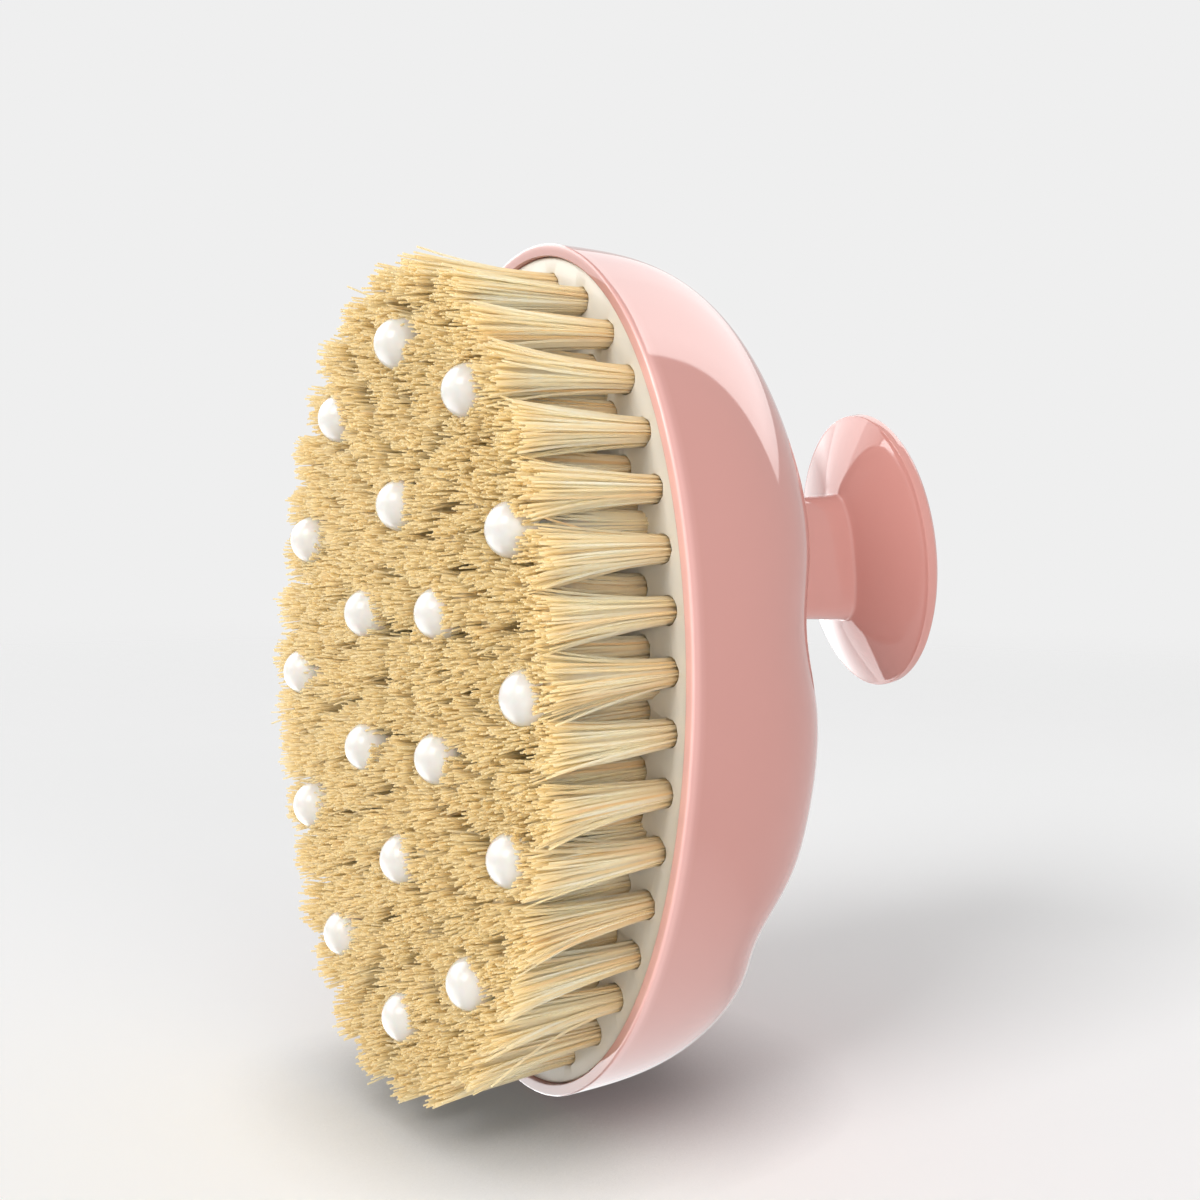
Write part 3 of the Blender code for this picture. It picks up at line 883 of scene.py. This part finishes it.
@dataclass
class Tufts:
    """The tufts of cut fibre: each is a tight bundle at its hole that spreads to a ragged tip.

    A tuft's strands spread evenly from its middle, packed towards the outside by packing, where they show.
    They lean together in clumps, and a few stray. A solid core fills the bundle, and a collar of strands
    stands close round each nodule's stem.
    """

    finish: PlantFibre
    plan: PlantingPlan
    strands_each: int = 150
    packing: float = 0.44
    turn_change: float = 0.1
    root_radius: float = 1.92 * MM
    root_fill: float = 0.92
    tip_radius: float = 4.3 * MM
    tip_change: float = 0.07
    opening: Triple = (0.35, 0.65, 1.8)
    strand_radius: float = 0.2 * MM
    strand_sides: int = 3
    strand_change: Pair = (0.75, 1.15)
    strand_taper: tuple[float, ...] = (1.0, 1.0, 1.0, 0.97, 0.92, 0.78)
    rooted_depth: float = 1.6 * MM
    length_change: Pair = (-0.03, 0.012)
    uneven: float = 1.7 * MM
    uneven_power: float = 1.6
    crown: float = 0.5 * MM
    stray_share: float = 0.02
    stray_reach: float = 1.5
    stray_bend: float = 2.5
    clumps: int = 9
    clump_spread: float = 0.5
    clumping: float = 0.3
    clump_pull: Pair = (0.3, 1.0)
    tuft_lean: float = 0.4 * MM
    bend: float = 0.9 * MM
    bow: float = 0.6
    core_share: float = 0.8
    core_sides: int = 12
    core_height: float = 0.9
    core_taper: tuple[float, ...] = (1.0, 1.0, 1.0, 1.0, 0.85, 0.45)
    collar_strands: int = 44
    collar_out: Pair = (0.86, 1.08)
    collar_gap: Pair = (0.3, 1.5)
    collar_uneven: Pair = (-1.2, 1.8)
    widest_x: float = 39.6 * MM
    give_x: float = 1.7 * MM
    ball_radius: float = 3.65 * MM
    stem_radius: float = 1.3 * MM
    clearing: float = 1.2
    passing: float = 0.93
    heights: tuple[float, ...] = (0.0, 0.22, 0.45, 0.66, 0.84, 1.0)
    tone: Pair = (0.55, 0.24)
    core_tone: float = 0.4
    seed: int = 7

    def build(self) -> list[Piece]:
        """Build a piece for each row.

        Returns:
            The pieces.
        """
        material = self.finish.material()
        random = np.random.default_rng(self.seed)
        rows = self.plan.rows()
        beside = [[] for _ in rows]
        for stem in self.plan.nodule_roots():
            gaps = [min(math.dist(stem, root) for root in row) for row in rows]
            beside[gaps.index(min(gaps))].append(stem)
        titles = [f"row_{number}" for number in range(1, len(rows))] + ["middle"]
        nodes = [f"bristle_row_{title.removeprefix('row_')}" for title in titles]
        return [
            self.row_piece(f"tufts_{title}", node, row, stems, material, random)
            for title, node, row, stems in zip(titles, nodes, rows, beside)
        ]

    def lines(self, root: Pair, random: np.random.Generator) -> tuple[np.ndarray, np.ndarray]:
        """Draw the strands' middle lines of one tuft, and the side lines of its packed core.

        Args:
            root: The tuft's (x, z) place in the pad.
            random: The source of chance.

        Returns:
            Two arrays of lines by steps by (x, y, z).
        """
        count = self.strands_each
        number = np.arange(count)
        start = random.uniform(0.0, FULL_TURN)
        even = start + number * math.pi * (3.0 - math.sqrt(5.0))
        across = directions(even + random.normal(0.0, self.turn_change, count))
        out = ((number + 0.5) / count) ** self.packing
        tuft_length = self.plan.bristle_length * (1.0 + random.uniform(*self.length_change))
        length = tuft_length - self.uneven * random.random(count) ** self.uneven_power - self.crown * out**2
        stray = random.random(count) < self.stray_share
        reach = self.tip_radius * (1.0 + random.normal(0.0, self.tip_change, count))
        reach *= np.where(stray, self.stray_reach, 1.0)
        tuft_lean = random.normal(0.0, self.tuft_lean, 2)
        middles = random.normal(0.0, self.clump_spread, (self.clumps, 2))
        places = across * out[:, None]
        nearest = np.argmin(np.linalg.norm(places[:, None, :] - middles[None, :, :], axis=2), axis=1)
        pull = (middles[nearest] - places) * self.clumping * self.tip_radius
        pull *= random.uniform(*self.clump_pull, (count, 1))
        sway = random.normal(0.0, self.bend, (count, 2))
        sway *= np.where(stray, self.stray_bend, 1.0)[:, None]
        strands = self.placed(root, across, out[:, None], reach, length, tuft_lean + pull, sway)
        sides = self.core_sides
        around = directions(FULL_TURN * np.arange(sides) / sides)
        still = np.zeros((sides, 2))
        top, wide = np.full(sides, self.core_height * tuft_length), np.full(sides, self.tip_radius)
        taper = self.core_share * np.array([self.core_taper])
        return strands, self.placed(root, around, taper, wide, top, tuft_lean + still, still)

    def collar(self, root: Pair, random: np.random.Generator) -> np.ndarray:
        """Draw the middle lines of the strands that stand close round a nodule's stem.

        Args:
            root: The stem's (x, z) place in the pad.
            random: The source of chance.

        Returns:
            An array of lines by steps by (x, y, z).
        """
        count = self.collar_strands
        across = directions(FULL_TURN * (np.arange(count) + random.random(count)) / count)
        out = random.uniform(*self.collar_out, count)
        reach = self.ball_radius + random.uniform(*self.collar_gap, count) * MM
        length = self.plan.nodule_height + random.uniform(*self.collar_uneven, count) * MM
        sway = random.normal(0.0, 0.5 * self.bend, (count, 2))
        return self.placed(root, across, out[:, None], reach, length, np.zeros((count, 2)), sway)

    def placed(
        self,
        root: Pair,
        across: np.ndarray,
        out: np.ndarray,
        reach: np.ndarray,
        length: np.ndarray,
        leans: np.ndarray,
        sway: np.ndarray,
    ) -> np.ndarray:
        """Lead lines up from a tuft's hole, spreading.

        Args:
            root: The tuft's (x, z) place in the pad.
            across: The direction of each line from the tuft's middle.
            out: How far out each line stands, as a share of the tuft's radius, or each of its steps.
            reach: The tuft's radius at the tips, for each line.
            length: How far each line rises above the pad.
            leans: How far each line's tip moves sideways.
            sway: How far each line bows.

        Returns:
            An array of lines by steps by (x, y, z).
        """
        low = -self.rooted_depth
        height = low + (length[:, None] - low) * np.array(self.heights)[None, :]
        risen = np.clip(height / self.plan.bristle_length, 0.0, None)
        # The bundle opens slowly at first, then faster towards its tip.
        straight, curved, power = self.opening
        opened = straight * risen + curved * risen**power
        radius = self.root_radius * self.root_fill + (reach[:, None] - self.root_radius) * opened
        offset = across[:, None, :] * (out * radius)[:, :, None]
        offset += leans[:, None, :] * (risen**2)[:, :, None]
        offset += sway[:, None, :] * (risen**2 - self.bow * risen)[:, :, None]
        wider, longer = self.plan.spread(height)
        x, z = root[0] * wider + offset[:, :, 0], root[1] * longer + offset[:, :, 1]
        lines = self.clear_of_nodules(np.stack([x, -height, z], axis=2))
        # Strands at the sides of the head give way, so that none stands out far.
        x = lines[:, :, 0]
        beyond = np.clip(np.abs(x) - self.widest_x, 0.0, None)
        held = self.widest_x + self.give_x * np.tanh(beyond / self.give_x)
        lines[:, :, 0] = np.where(beyond > 0.0, np.sign(x) * held, x)
        return lines

    def clear_of_nodules(self, lines: np.ndarray) -> np.ndarray:
        """Push strands sideways out of the nodules' balls and stems.

        Args:
            lines: The strands' middle lines.

        Returns:
            The lines, bent where they met a nodule.
        """
        height = -lines[:, :, 1]
        wider, longer = self.plan.spread(height)
        margin = self.clearing * self.strand_radius
        room = self.ball_radius + margin
        above = height - self.plan.nodule_height
        ball = np.sqrt(np.clip(room**2 - np.clip(above, -room, room) ** 2, 0.0, None))
        # A strand that passes a ball stays out of its widest part all the way up.
        ball = np.where(above > 0.0, np.maximum(ball, self.passing * room), ball)
        least = np.maximum(ball, self.stem_radius + margin)
        for root in self.plan.nodule_roots():
            side = np.stack([lines[:, :, 0] - root[0] * wider, lines[:, :, 2] - root[1] * longer], axis=2)
            apart = np.linalg.norm(side, axis=2)
            push = np.clip(least - apart, 0.0, None)
            for step in range(push.shape[1] - 2, 0, -1):
                fall = (height[:, step] / np.maximum(height[:, step + 1], MM)) ** 2
                push[:, step] = np.maximum(push[:, step], push[:, step + 1] * np.clip(fall, 0.0, 1.0))
            push[height <= 0.0] = 0.0
            direction = side / np.maximum(apart, TINY)[:, :, None]
            lines[:, :, 0] += direction[:, :, 0] * push
            lines[:, :, 2] += direction[:, :, 1] * push
        return lines

    def row_piece(
        self,
        name: str,
        node: str,
        row: list[Pair],
        stems: list[Pair],
        material: Material,
        random: np.random.Generator,
    ) -> Piece:
        """Build the piece of one row of tufts.

        Args:
            name: The piece's name.
            node: The CAD node that it stands for.
            row: The roots of the row's tufts.
            stems: The roots of the nodules whose collars go with the row.
            material: The fibre's material.
            random: The source of chance.

        Returns:
            The piece.
        """
        made = [self.lines(root, random) for root in row]
        collars = [self.collar(stem, random) for stem in stems]
        lines = np.concatenate([strands for strands, _ in made] + collars)
        strands, steps = lines.shape[:2]
        sides = self.strand_sides
        thick = self.strand_radius * random.uniform(*self.strand_change, strands)
        spin = random.uniform(0.0, FULL_TURN, strands)
        turn = spin[:, None] + np.arange(sides)[None, :] * FULL_TURN / sides
        ring = np.stack([np.cos(turn), np.zeros_like(turn), np.sin(turn)], axis=2)
        radius = (thick[:, None] * np.array(self.strand_taper)[None, :])[:, :, None, None]
        skin = Skin()
        self.add_tubes(skin, lines[:, :, None, :] + ring[:, None, :, :] * radius)
        self.add_tubes(skin, np.stack([core for _, core in made]).swapaxes(1, 2))
        piece = skin.piece(name, material, Slot.BRISTLES, node, sharp=80.0)
        tone = np.clip(random.normal(*self.tone, strands), 0.0, 1.0)
        core_tone = np.full(len(made) * self.core_sides * steps, self.core_tone)
        write_values(piece, "strand_tone", np.concatenate([np.repeat(tone, steps * sides), core_tone]))
        rise = np.array(self.heights)
        strand_share = np.tile(np.repeat(rise, sides), strands)
        core_share = np.tile(np.repeat(rise * self.core_height, self.core_sides), len(made))
        write_values(piece, "strand_share", np.concatenate([strand_share, core_share]))
        return piece

    def add_tubes(self, skin: Skin, points: np.ndarray) -> None:
        """Add closed tubes of equally many steps and sides.

        Args:
            skin: The skin that takes them.
            points: An array of tubes by steps by sides by (x, y, z).
        """
        tubes, steps, sides = points.shape[:3]
        first = skin.add_points(points.reshape(-1, 3)) + np.arange(tubes)[:, None, None] * steps * sides
        low = first + np.arange(steps - 1)[None, :, None] * sides
        side = np.arange(sides)[None, None, :]
        after = (side + 1) % sides
        corners = (low + side, low + sides + side, low + sides + after, low + after)
        quads = np.stack(np.broadcast_arrays(*corners), axis=3)
        skin.faces += [tuple(quad) for quad in quads.reshape(-1, 4).tolist()]
        tips = first[:, 0] + (steps - 1) * sides + np.arange(sides)[::-1]
        ends = first[:, 0] + np.arange(sides)
        skin.faces += [tuple(face) for face in np.concatenate([tips, ends]).tolist()]


@dataclass
class Nodules:
    """The white balls on stems that stand among the tufts."""

    finish: TumbledNylon
    plan: PlantingPlan
    radius: float = 3.65 * MM
    stem_radius: float = 1.3 * MM
    fillet: float = 0.5 * MM
    rooted_depth: float = 2.2 * MM
    sides: int = 48
    rings: int = 30
    fillet_rings: int = 6

    def build(self) -> list[Piece]:
        """Build every nodule.

        Returns:
            The pieces.
        """
        material = self.finish.material()
        pieces = []
        for number, root in enumerate(self.plan.nodule_roots(), start=1):
            skin = Skin()
            skin.loft(self.ball_and_stem(root))
            pieces.append(
                skin.piece(f"nodule_ball_{number:02d}", material, Slot.WHITE_NODULE, f"nodule_{number:02d}")
            )
        return pieces

    def ball_and_stem(self, root: Pair) -> list[Ring]:
        """Shape one nodule.

        Args:
            root: Its (x, z) place in the pad.

        Returns:
            Its rings, from its foot to the top of its ball.
        """
        start = math.asin((self.stem_radius + self.fillet) / (self.radius + self.fillet))
        top = self.plan.nodule_height
        rounding = top - (self.radius + self.fillet) * math.cos(start)
        profile = [(self.stem_radius, -self.rooted_depth), (self.stem_radius, 0.5 * top)]
        for step in range(self.fillet_rings):
            turn = (0.5 * math.pi - start) * step / (self.fillet_rings - 1.0)
            wide = self.stem_radius + self.fillet * (1.0 - math.cos(turn))
            profile.append((wide, rounding + self.fillet * math.sin(turn)))
        for step in range(1, self.rings):
            turn = start + (math.pi - start) * step / self.rings
            profile.append((self.radius * math.sin(turn), top - self.radius * math.cos(turn)))
        rings = []
        for wide, height in profile:
            wider, longer = self.plan.spread(min(height, top))
            rings.append(oval(wide, wide, self.sides, middle=(root[0] * wider, -height, root[1] * longer)))
        return rings


@dataclass
class Handle:
    """The flat neck that widens into the oval knob, and the knob's cap.

    The foot, the crease where the neck meets the knob, and the rim are given by half of their width and
    length. The rim is a band that stands almost square to the cone, with a small round in front.
    """

    finish: MouldedAbs
    shell: BackShell
    neck_height: float = 16.5 * MM
    neck_rings: int = 12
    foot: Pair = (3.4 * MM, 9.0 * MM)
    crease: Pair = (3.8 * MM, 10.8 * MM)
    rim: Pair = (15.0 * MM, 23.6 * MM)
    standoff: float = 32.7 * MM
    lift: float = 1.1 * MM
    tilt: float = math.radians(8.7)
    cone_depth: float = 7.2 * MM
    cone_bulge: float = 0.32 * MM
    cone_span: Pair = (0.12, 0.96)
    cone_rings: int = 14
    rim_thickness: float = 2.4 * MM
    rim_step: float = 0.1 * MM
    rim_front_round: float = 0.3 * MM
    rim_front_steps: int = 4
    rim_round: float = 0.8 * MM
    rim_steps: int = 6
    foot_power: float = 3.0
    crease_power: float = 2.6
    cap_rise: float = 3.0 * MM
    cap_edge: float = 7.5 * MM
    cap_rings: int = 12
    cap_shares: Triple = (0.7, 0.4, 0.15)
    crease_round: float = 0.45 * MM
    sides: int = 192

    def knob_ring(self, along: float, half_width: float, half_length: float, power: float = 2.0) -> Ring:
        """Return an oval ring square to the knob's axis.

        Args:
            along: How far along the axis it lies from the rim's plane.
            half_width: Half of its width.
            half_length: Half of its length.
            power: 2 for an ellipse, and more for an oval with flatter sides.

        Returns:
            The ring.
        """
        axis = np.array([0.0, math.cos(self.tilt), math.sin(self.tilt)])
        up = np.array([0.0, -math.sin(self.tilt), math.cos(self.tilt)])
        centre = np.array([0.0, self.shell.depth + self.standoff, self.neck_height + self.lift])
        flat = oval(half_width, half_length, self.sides, power)
        return centre + axis * along + flat[:, :1] * np.array([[1.0, 0.0, 0.0]]) + flat[:, 2:] * up

    def build(self) -> list[Piece]:
        """Build the neck with the knob's cup, and the cap.

        Returns:
            The pieces.
        """
        material = self.finish.material()
        foot_depth = self.shell.depth - self.shell.finger_hollow[1] - self.shell.wall
        foot = oval(*self.foot, self.sides, self.foot_power, (0.0, foot_depth, self.neck_height))
        crease = self.knob_ring(-self.cone_depth, *self.crease, self.crease_power)
        half = 0.5 * self.rim_thickness
        wide, long = self.rim
        small = self.rim_front_round
        cone_end = self.knob_ring(-half, wide - small, long - small)
        rings = [foot + (crease - foot) * share for share in np.linspace(0.0, 1.0, self.neck_rings + 1)[:-1]]
        rings += self.rounded(foot, crease, cone_end, self.crease_round)
        forward = -self.cone_bulge * np.array([0.0, math.cos(self.tilt), math.sin(self.tilt)])
        for share in np.linspace(*self.cone_span, self.cone_rings):
            rings.append(crease + (cone_end - crease) * share + 4.0 * share * (1.0 - share) * forward)
        # Pairs of the place along the axis and the way in from the rim's widest.
        rim = [
            (-half + small * one, self.rim_step + (small - self.rim_step) * other)
            for one, other in quarter(self.rim_front_steps)
        ]
        rim += [
            (half - self.rim_round * other, self.rim_round * one) for one, other in quarter(self.rim_steps)
        ]
        cap = [
            (half + self.cap_rise * (1.0 - other), self.rim_round + (self.cap_edge - self.rim_round) * one)
            for one, other in quarter(self.cap_rings)
        ]
        rings += [self.knob_ring(along, wide - inset, long - inset) for along, inset in rim]
        cap_rings = [self.knob_ring(along, wide - inset, long - inset) for along, inset in cap]
        for share in self.cap_shares:
            flat = (wide - self.cap_edge) * share, (long - self.cap_edge) * share
            cap_rings.append(self.knob_ring(half + self.cap_rise, *flat))
        pieces = []
        for name, node, form in (("knob", "handle", rings), ("knob_top", "knob_cap", cap_rings)):
            skin = Skin()
            skin.loft(form)
            pieces.append(skin.piece(name, material, Slot.PINK_HANDLE, node))
        return pieces

    def rounded(self, before: Ring, corner: Ring, after: Ring, reach: float) -> list[Ring]:
        """Return rings that round a corner between two straight stretches.

        Args:
            before: A ring on the first stretch.
            corner: The ring where the stretches meet.
            after: A ring on the second stretch.
            reach: How far from the corner the rounding starts.

        Returns:
            Five rings along the rounding.
        """
        start, end = (
            corner + way * (reach / np.linalg.norm(way, axis=1, keepdims=True))
            for way in (before - corner, after - corner)
        )
        return [
            (1 - share) ** 2 * start + 2 * share * (1 - share) * corner + share**2 * end
            for share in (0.0, 0.25, 0.5, 0.75, 1.0)
        ]


EVEN: Steps = ((0.0, 1.0), (1.0, 1.0))


@dataclass(frozen=True)
class SoftLamp:
    """A rectangular lamp with a soft cover, placed by its direction from the brush.

    Azimuth counts in degrees from the bristle side towards +X, and elevation above the floor. A lamp that
    doesn't light matt surfaces is seen only as a reflection in the gloss, and one that isn't mirrored shows
    no reflection. A fade gives (place, share of the full radiance) pairs across the lamp or up it, for a
    cover that is brightest where its tubes are.
    """

    name: str
    azimuth: float
    elevation: float
    distance: float
    size: Pair
    radiance: float
    lights_matt: bool = False
    mirrored: bool = True
    fade: Steps = EVEN
    fade_up: Steps = EVEN


# The key lamp stands in front of the bristles and casts the long shadow behind the knob.
KEY_LAMP = SoftLamp("key_lamp", 14.0, 36.0, 6.0, (2.8, 2.8), 7.8, lights_matt=True)
# The fill lamp opens the shade between the tufts, from the right.
RIGHT_FILL = SoftLamp("right_fill", 78.0, 8.0, 3.0, (2.6, 1.6), 3.9, lights_matt=True, mirrored=False)
# The others show as clear reflections: on the shell's back, on the lip and knob, and on the belly.
BACK_WINDOW = SoftLamp(
    "back_window", 191.0, 38.0, 3.0, (4.2, 1.96), 4.6,
    fade=(
        (0.0, 0.0), (0.19, 0.0), (0.202, 0.98), (0.31, 0.98), (0.44, 0.79), (0.545, 0.65), (0.614, 0.54),
        (0.66, 0.51), (0.81, 0.32), (0.93, 0.24), (1.0, 0.21),
    ),
    fade_up=((0.0, 0.5), (0.092, 0.62), (0.194, 0.79), (0.296, 0.83), (0.653, 0.92), (1.0, 1.0)),
)
LEFT_WALL = SoftLamp(
    "left_wall", -62.0, 0.0, 3.0, (10.4, 9.6), 5.8,
    fade=(
        (0.0, 0.66), (0.405, 0.66), (0.415, 0.54), (0.425, 1.0), (0.69, 1.0), (0.695, 0.6), (0.81, 0.45),
        (0.93, 0.3), (1.0, 0.12),
    ),
    fade_up=((0.0, 0.85), (0.4, 0.85), (0.45, 0.35), (0.56, 0.35), (0.59, 1.0), (1.0, 1.0)),
)
LOW_GLOW = SoftLamp(
    "low_glow", 180.0, -62.0, 1.2, (2.8, 1.07), 1.75, fade_up=((0.0, 1.0), (0.5, 0.85), (1.0, 0.05))
)


@dataclass
class Studio:
    """The pale floor and surround, the soft lamps and the camera."""

    surround: str = "#EFEFEF"
    floor_colour: str = "#FAFAFA"
    floor_lift: float = 0.055
    # How far the painted contact shadow reaches, where it starts and how dark it gets.
    contact_reach: float = 24.0 * MM
    contact_from: float = 0.25
    contact_shade: float = 0.34
    ambient: float = 0.50
    floor_radius: float = 1.1
    floor_sides: int = 96
    fade_from: float = 0.3
    fade_to: float = 0.95
    camera_place: Triple = (0.1848, -0.1447685, 0.0877)
    camera_forward: Triple = (-0.813, 0.579, -0.064)
    camera_up: Triple = (-0.059, 0.027, 0.998)
    lens: float = 45.0
    sensor: float = 36.0
    clip_start: float = 0.01
    lamps: tuple[SoftLamp, ...] = (KEY_LAMP, RIGHT_FILL, BACK_WINDOW, LEFT_WALL, LOW_GLOW)

    def build(self) -> None:
        """Build the floor, the surround, the lamps and the camera."""
        bpy.context.scene.view_settings.view_transform = "Standard"
        self.add_world()
        self.add_floor()
        self.add_camera()
        for lamp in self.lamps:
            self.add_lamp(lamp)

    def seen_directly(self, tree: Tree) -> Socket:
        """Tell rays from the camera, and mirrored and passing rays, from the others.

        Args:
            tree: The node tree.

        Returns:
            A socket that is 1 for them and 0 for the others.
        """
        path = add_node(tree, "ShaderNodeLightPath")
        seen = path.outputs["Is Camera Ray"]
        for other in ("Is Glossy Ray", "Is Transmission Ray"):
            either = {0: seen, 1: path.outputs[other]}
            seen = add_node(tree, "ShaderNodeMath", {"operation": "MAXIMUM"}, either).outputs["Value"]
        return seen

    def add_world(self) -> None:
        """Give the surround its pale look, and its weaker light on the object."""
        world = bpy.data.worlds.new("surround")
        bpy.context.scene.world = world
        world.use_nodes = True
        tree = world.node_tree
        tree.nodes.clear()
        seen = self.seen_directly(tree)
        levels = {"Value": seen, "To Min": self.ambient, "To Max": 1.0}
        strength = add_node(tree, "ShaderNodeMapRange", inputs=levels).outputs["Result"]
        colours = {0: seen, 6: WHITE, 7: linear(self.surround)}
        colour = add_node(tree, "ShaderNodeMix", {"data_type": "RGBA"}, colours).outputs[2]
        light = add_node(tree, "ShaderNodeBackground", inputs={"Color": colour, "Strength": strength})
        add_node(tree, "ShaderNodeOutputWorld", inputs={"Surface": light.outputs["Background"]})

    def add_floor(self) -> None:
        """Lay the round floor, which fades into the surround and has a painted contact shadow by the brush."""
        material, tree = new_material("matt_white_floor")
        place = add_node(tree, "ShaderNodeTexCoord").outputs["Object"]
        away = add_node(tree, "ShaderNodeVectorMath", {"operation": "LENGTH"}, {0: place}).outputs["Value"]
        levels = {"Value": away, "From Min": self.fade_from, "From Max": self.fade_to}
        smooth = {"interpolation_type": "SMOOTHSTEP"}
        fade = add_node(tree, "ShaderNodeMapRange", smooth, levels).outputs["Result"]
        # Painted contact shadow: ambient occlusion near the brush darkens the floor's colour.
        reach = {"Distance": self.contact_reach}
        openness = add_node(tree, "ShaderNodeAmbientOcclusion", {"samples": 8}, reach).outputs["AO"]
        levels = {"Value": openness, "From Min": self.contact_from, "To Min": self.contact_shade}
        kept = add_node(tree, "ShaderNodeMapRange", inputs=levels).outputs["Result"]
        colours = {0: kept, 6: BLACK, 7: linear(self.floor_colour)}
        colour = add_node(tree, "ShaderNodeMix", {"data_type": "RGBA"}, colours).outputs[2]
        paint = add_node(tree, "ShaderNodeBsdfDiffuse", inputs={"Color": colour}).outputs["BSDF"]
        clear = add_node(tree, "ShaderNodeBsdfTransparent").outputs["BSDF"]
        factors = {0: self.seen_directly(tree), 1: self.floor_lift}
        lift = add_node(tree, "ShaderNodeMath", {"operation": "MULTIPLY"}, factors).outputs["Value"]
        glow = add_node(tree, "ShaderNodeEmission", inputs={"Strength": lift}).outputs["Emission"]
        lit = add_node(tree, "ShaderNodeAddShader", inputs={0: paint, 1: glow}).outputs["Shader"]
        both = add_node(tree, "ShaderNodeMixShader", inputs={0: fade, 1: lit, 2: clear}).outputs["Shader"]
        add_node(tree, "ShaderNodeOutputMaterial", inputs={"Surface": both})
        mesh = bpy.data.meshes.new("floor")
        outline = oval(self.floor_radius, self.floor_radius, self.floor_sides)
        mesh.from_pydata([(x, z, 0.0) for x, _, z in outline.tolist()], [], [tuple(range(self.floor_sides))])
        mesh.materials.append(material)
        floor = bpy.data.objects.new("floor", mesh)
        floor.visible_glossy = False
        bpy.context.scene.collection.objects.link(floor)

    def add_lamp(self, lamp: SoftLamp) -> None:
        """Add a soft rectangular lamp that points at the brush.

        Args:
            lamp: What it is like and where it stands.
        """
        data = bpy.data.lights.new(lamp.name, "AREA")
        data.shape = "RECTANGLE"
        data.size, data.size_y = lamp.size
        data.energy = lamp.radiance * math.pi * lamp.size[0] * lamp.size[1]
        turn, rise = math.radians(lamp.azimuth), math.radians(lamp.elevation)
        back = Vector((math.sin(turn) * math.cos(rise), -math.cos(turn) * math.cos(rise), math.sin(rise)))
        shown = bpy.data.objects.new(lamp.name, data)
        shown.location = Vector((0.0, 0.0, HEAD_ORIGIN.z)) + back * lamp.distance
        shown.rotation_mode = "QUATERNION"
        shown.rotation_quaternion = (-back).to_track_quat("-Z", "Y")
        if (lamp.fade, lamp.fade_up) != (EVEN, EVEN):
            self.add_fade(data, lamp)
        shown.visible_diffuse = lamp.lights_matt
        shown.visible_glossy = lamp.mirrored
        shown.visible_camera = False
        bpy.context.scene.collection.objects.link(shown)

    def add_fade(self, data: bpy.types.Light, lamp: SoftLamp) -> None:
        """Let a lamp's light vary across its cover and up it.

        Args:
            data: The lamp's data.
            lamp: What it is like.
        """
        data.use_nodes = True
        tree = data.node_tree
        tree.nodes.clear()
        place = add_node(tree, "ShaderNodeNewGeometry").outputs["Parametric"]
        sides = add_node(tree, "ShaderNodeSeparateXYZ", inputs={"Vector": place})
        shares = {}
        for number, (side, steps) in enumerate((("X", lamp.fade), ("Y", lamp.fade_up))):
            ramp = add_node(tree, "ShaderNodeValToRGB", inputs={"Fac": sides.outputs[side]})
            elements = ramp.color_ramp.elements
            for at, _ in steps[1:-1]:
                elements.new(at)
            for element, (_, value) in zip(elements, steps):
                element.color = (value, value, value, 1.0)
            shares[number] = ramp.outputs["Color"]
        strength = add_node(tree, "ShaderNodeMath", {"operation": "MULTIPLY"}, shares).outputs["Value"]
        glow = add_node(tree, "ShaderNodeEmission", inputs={"Strength": strength})
        add_node(tree, "ShaderNodeOutputLight", inputs={"Surface": glow.outputs["Emission"]})

    def add_camera(self) -> None:
        """Set up the camera at the photograph's angle."""
        data = bpy.data.cameras.new("camera")
        data.lens = self.lens
        data.sensor_width = self.sensor
        data.clip_start = self.clip_start
        camera = bpy.data.objects.new("camera", data)
        forward = Vector(self.camera_forward).normalized()
        right = forward.cross(Vector(self.camera_up)).normalized()
        matrix = Matrix((right, right.cross(forward), -forward)).transposed().to_4x4()
        matrix.translation = Vector(self.camera_place)
        camera.matrix_world = matrix
        bpy.context.scene.collection.objects.link(camera)
        bpy.context.scene.camera = camera


def dress_screws(finish: PlatedSteel) -> None:
    """Give the two screws of the frame their finish.

    Args:
        finish: The finish.
    """
    material = finish.material()
    for name in ("handle_screw_lower", "handle_screw_upper"):
        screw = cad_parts[name]
        screw.data.materials.clear()
        screw.data.materials.append(material)
        LOG.info("%s: dressed in %s", name, finish.name)


def main() -> None:
    """Build the brush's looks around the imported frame."""
    logging.basicConfig(level=logging.INFO, format="%(name)s: %(message)s")
    Studio().build()
    plan = PlantingPlan()
    # The shell's paler lip colour is a painted highlight.
    shell = BackShell(MouldedAbs("polished_pink_abs_shell", "#C08B83", "#BE8880", lip_highlight_colour="#F3BEB7"))
    shell.build()
    BristlePad(PadPolypropylene("satin_cream_polypropylene", "#E9E4D8", "#E5DED0"), plan).build()
    fibre = PlantFibre(
        "bleached_plant_fibre", "#FFF9E5", "#FDE9C4", pale="#FFFEF5", root="#FAE3B2", tip="#FEF3D4"
    )
    Tufts(fibre, plan).build()
    Nodules(TumbledNylon("tumbled_white_nylon", "#D6D3CD", "#D1CDC6"), plan).build()
    # The handle's pink is a little lighter than the shell's: painted light that makes up for the shade on the
    # knob.
    Handle(MouldedAbs("polished_pink_abs_handle", "#C88E85", "#C68B82"), shell).build()
    dress_screws(PlatedSteel("zinc_plated_steel", "#C9CBCE", "#A9ABAF"))


if __name__ == "__main__":
    main()
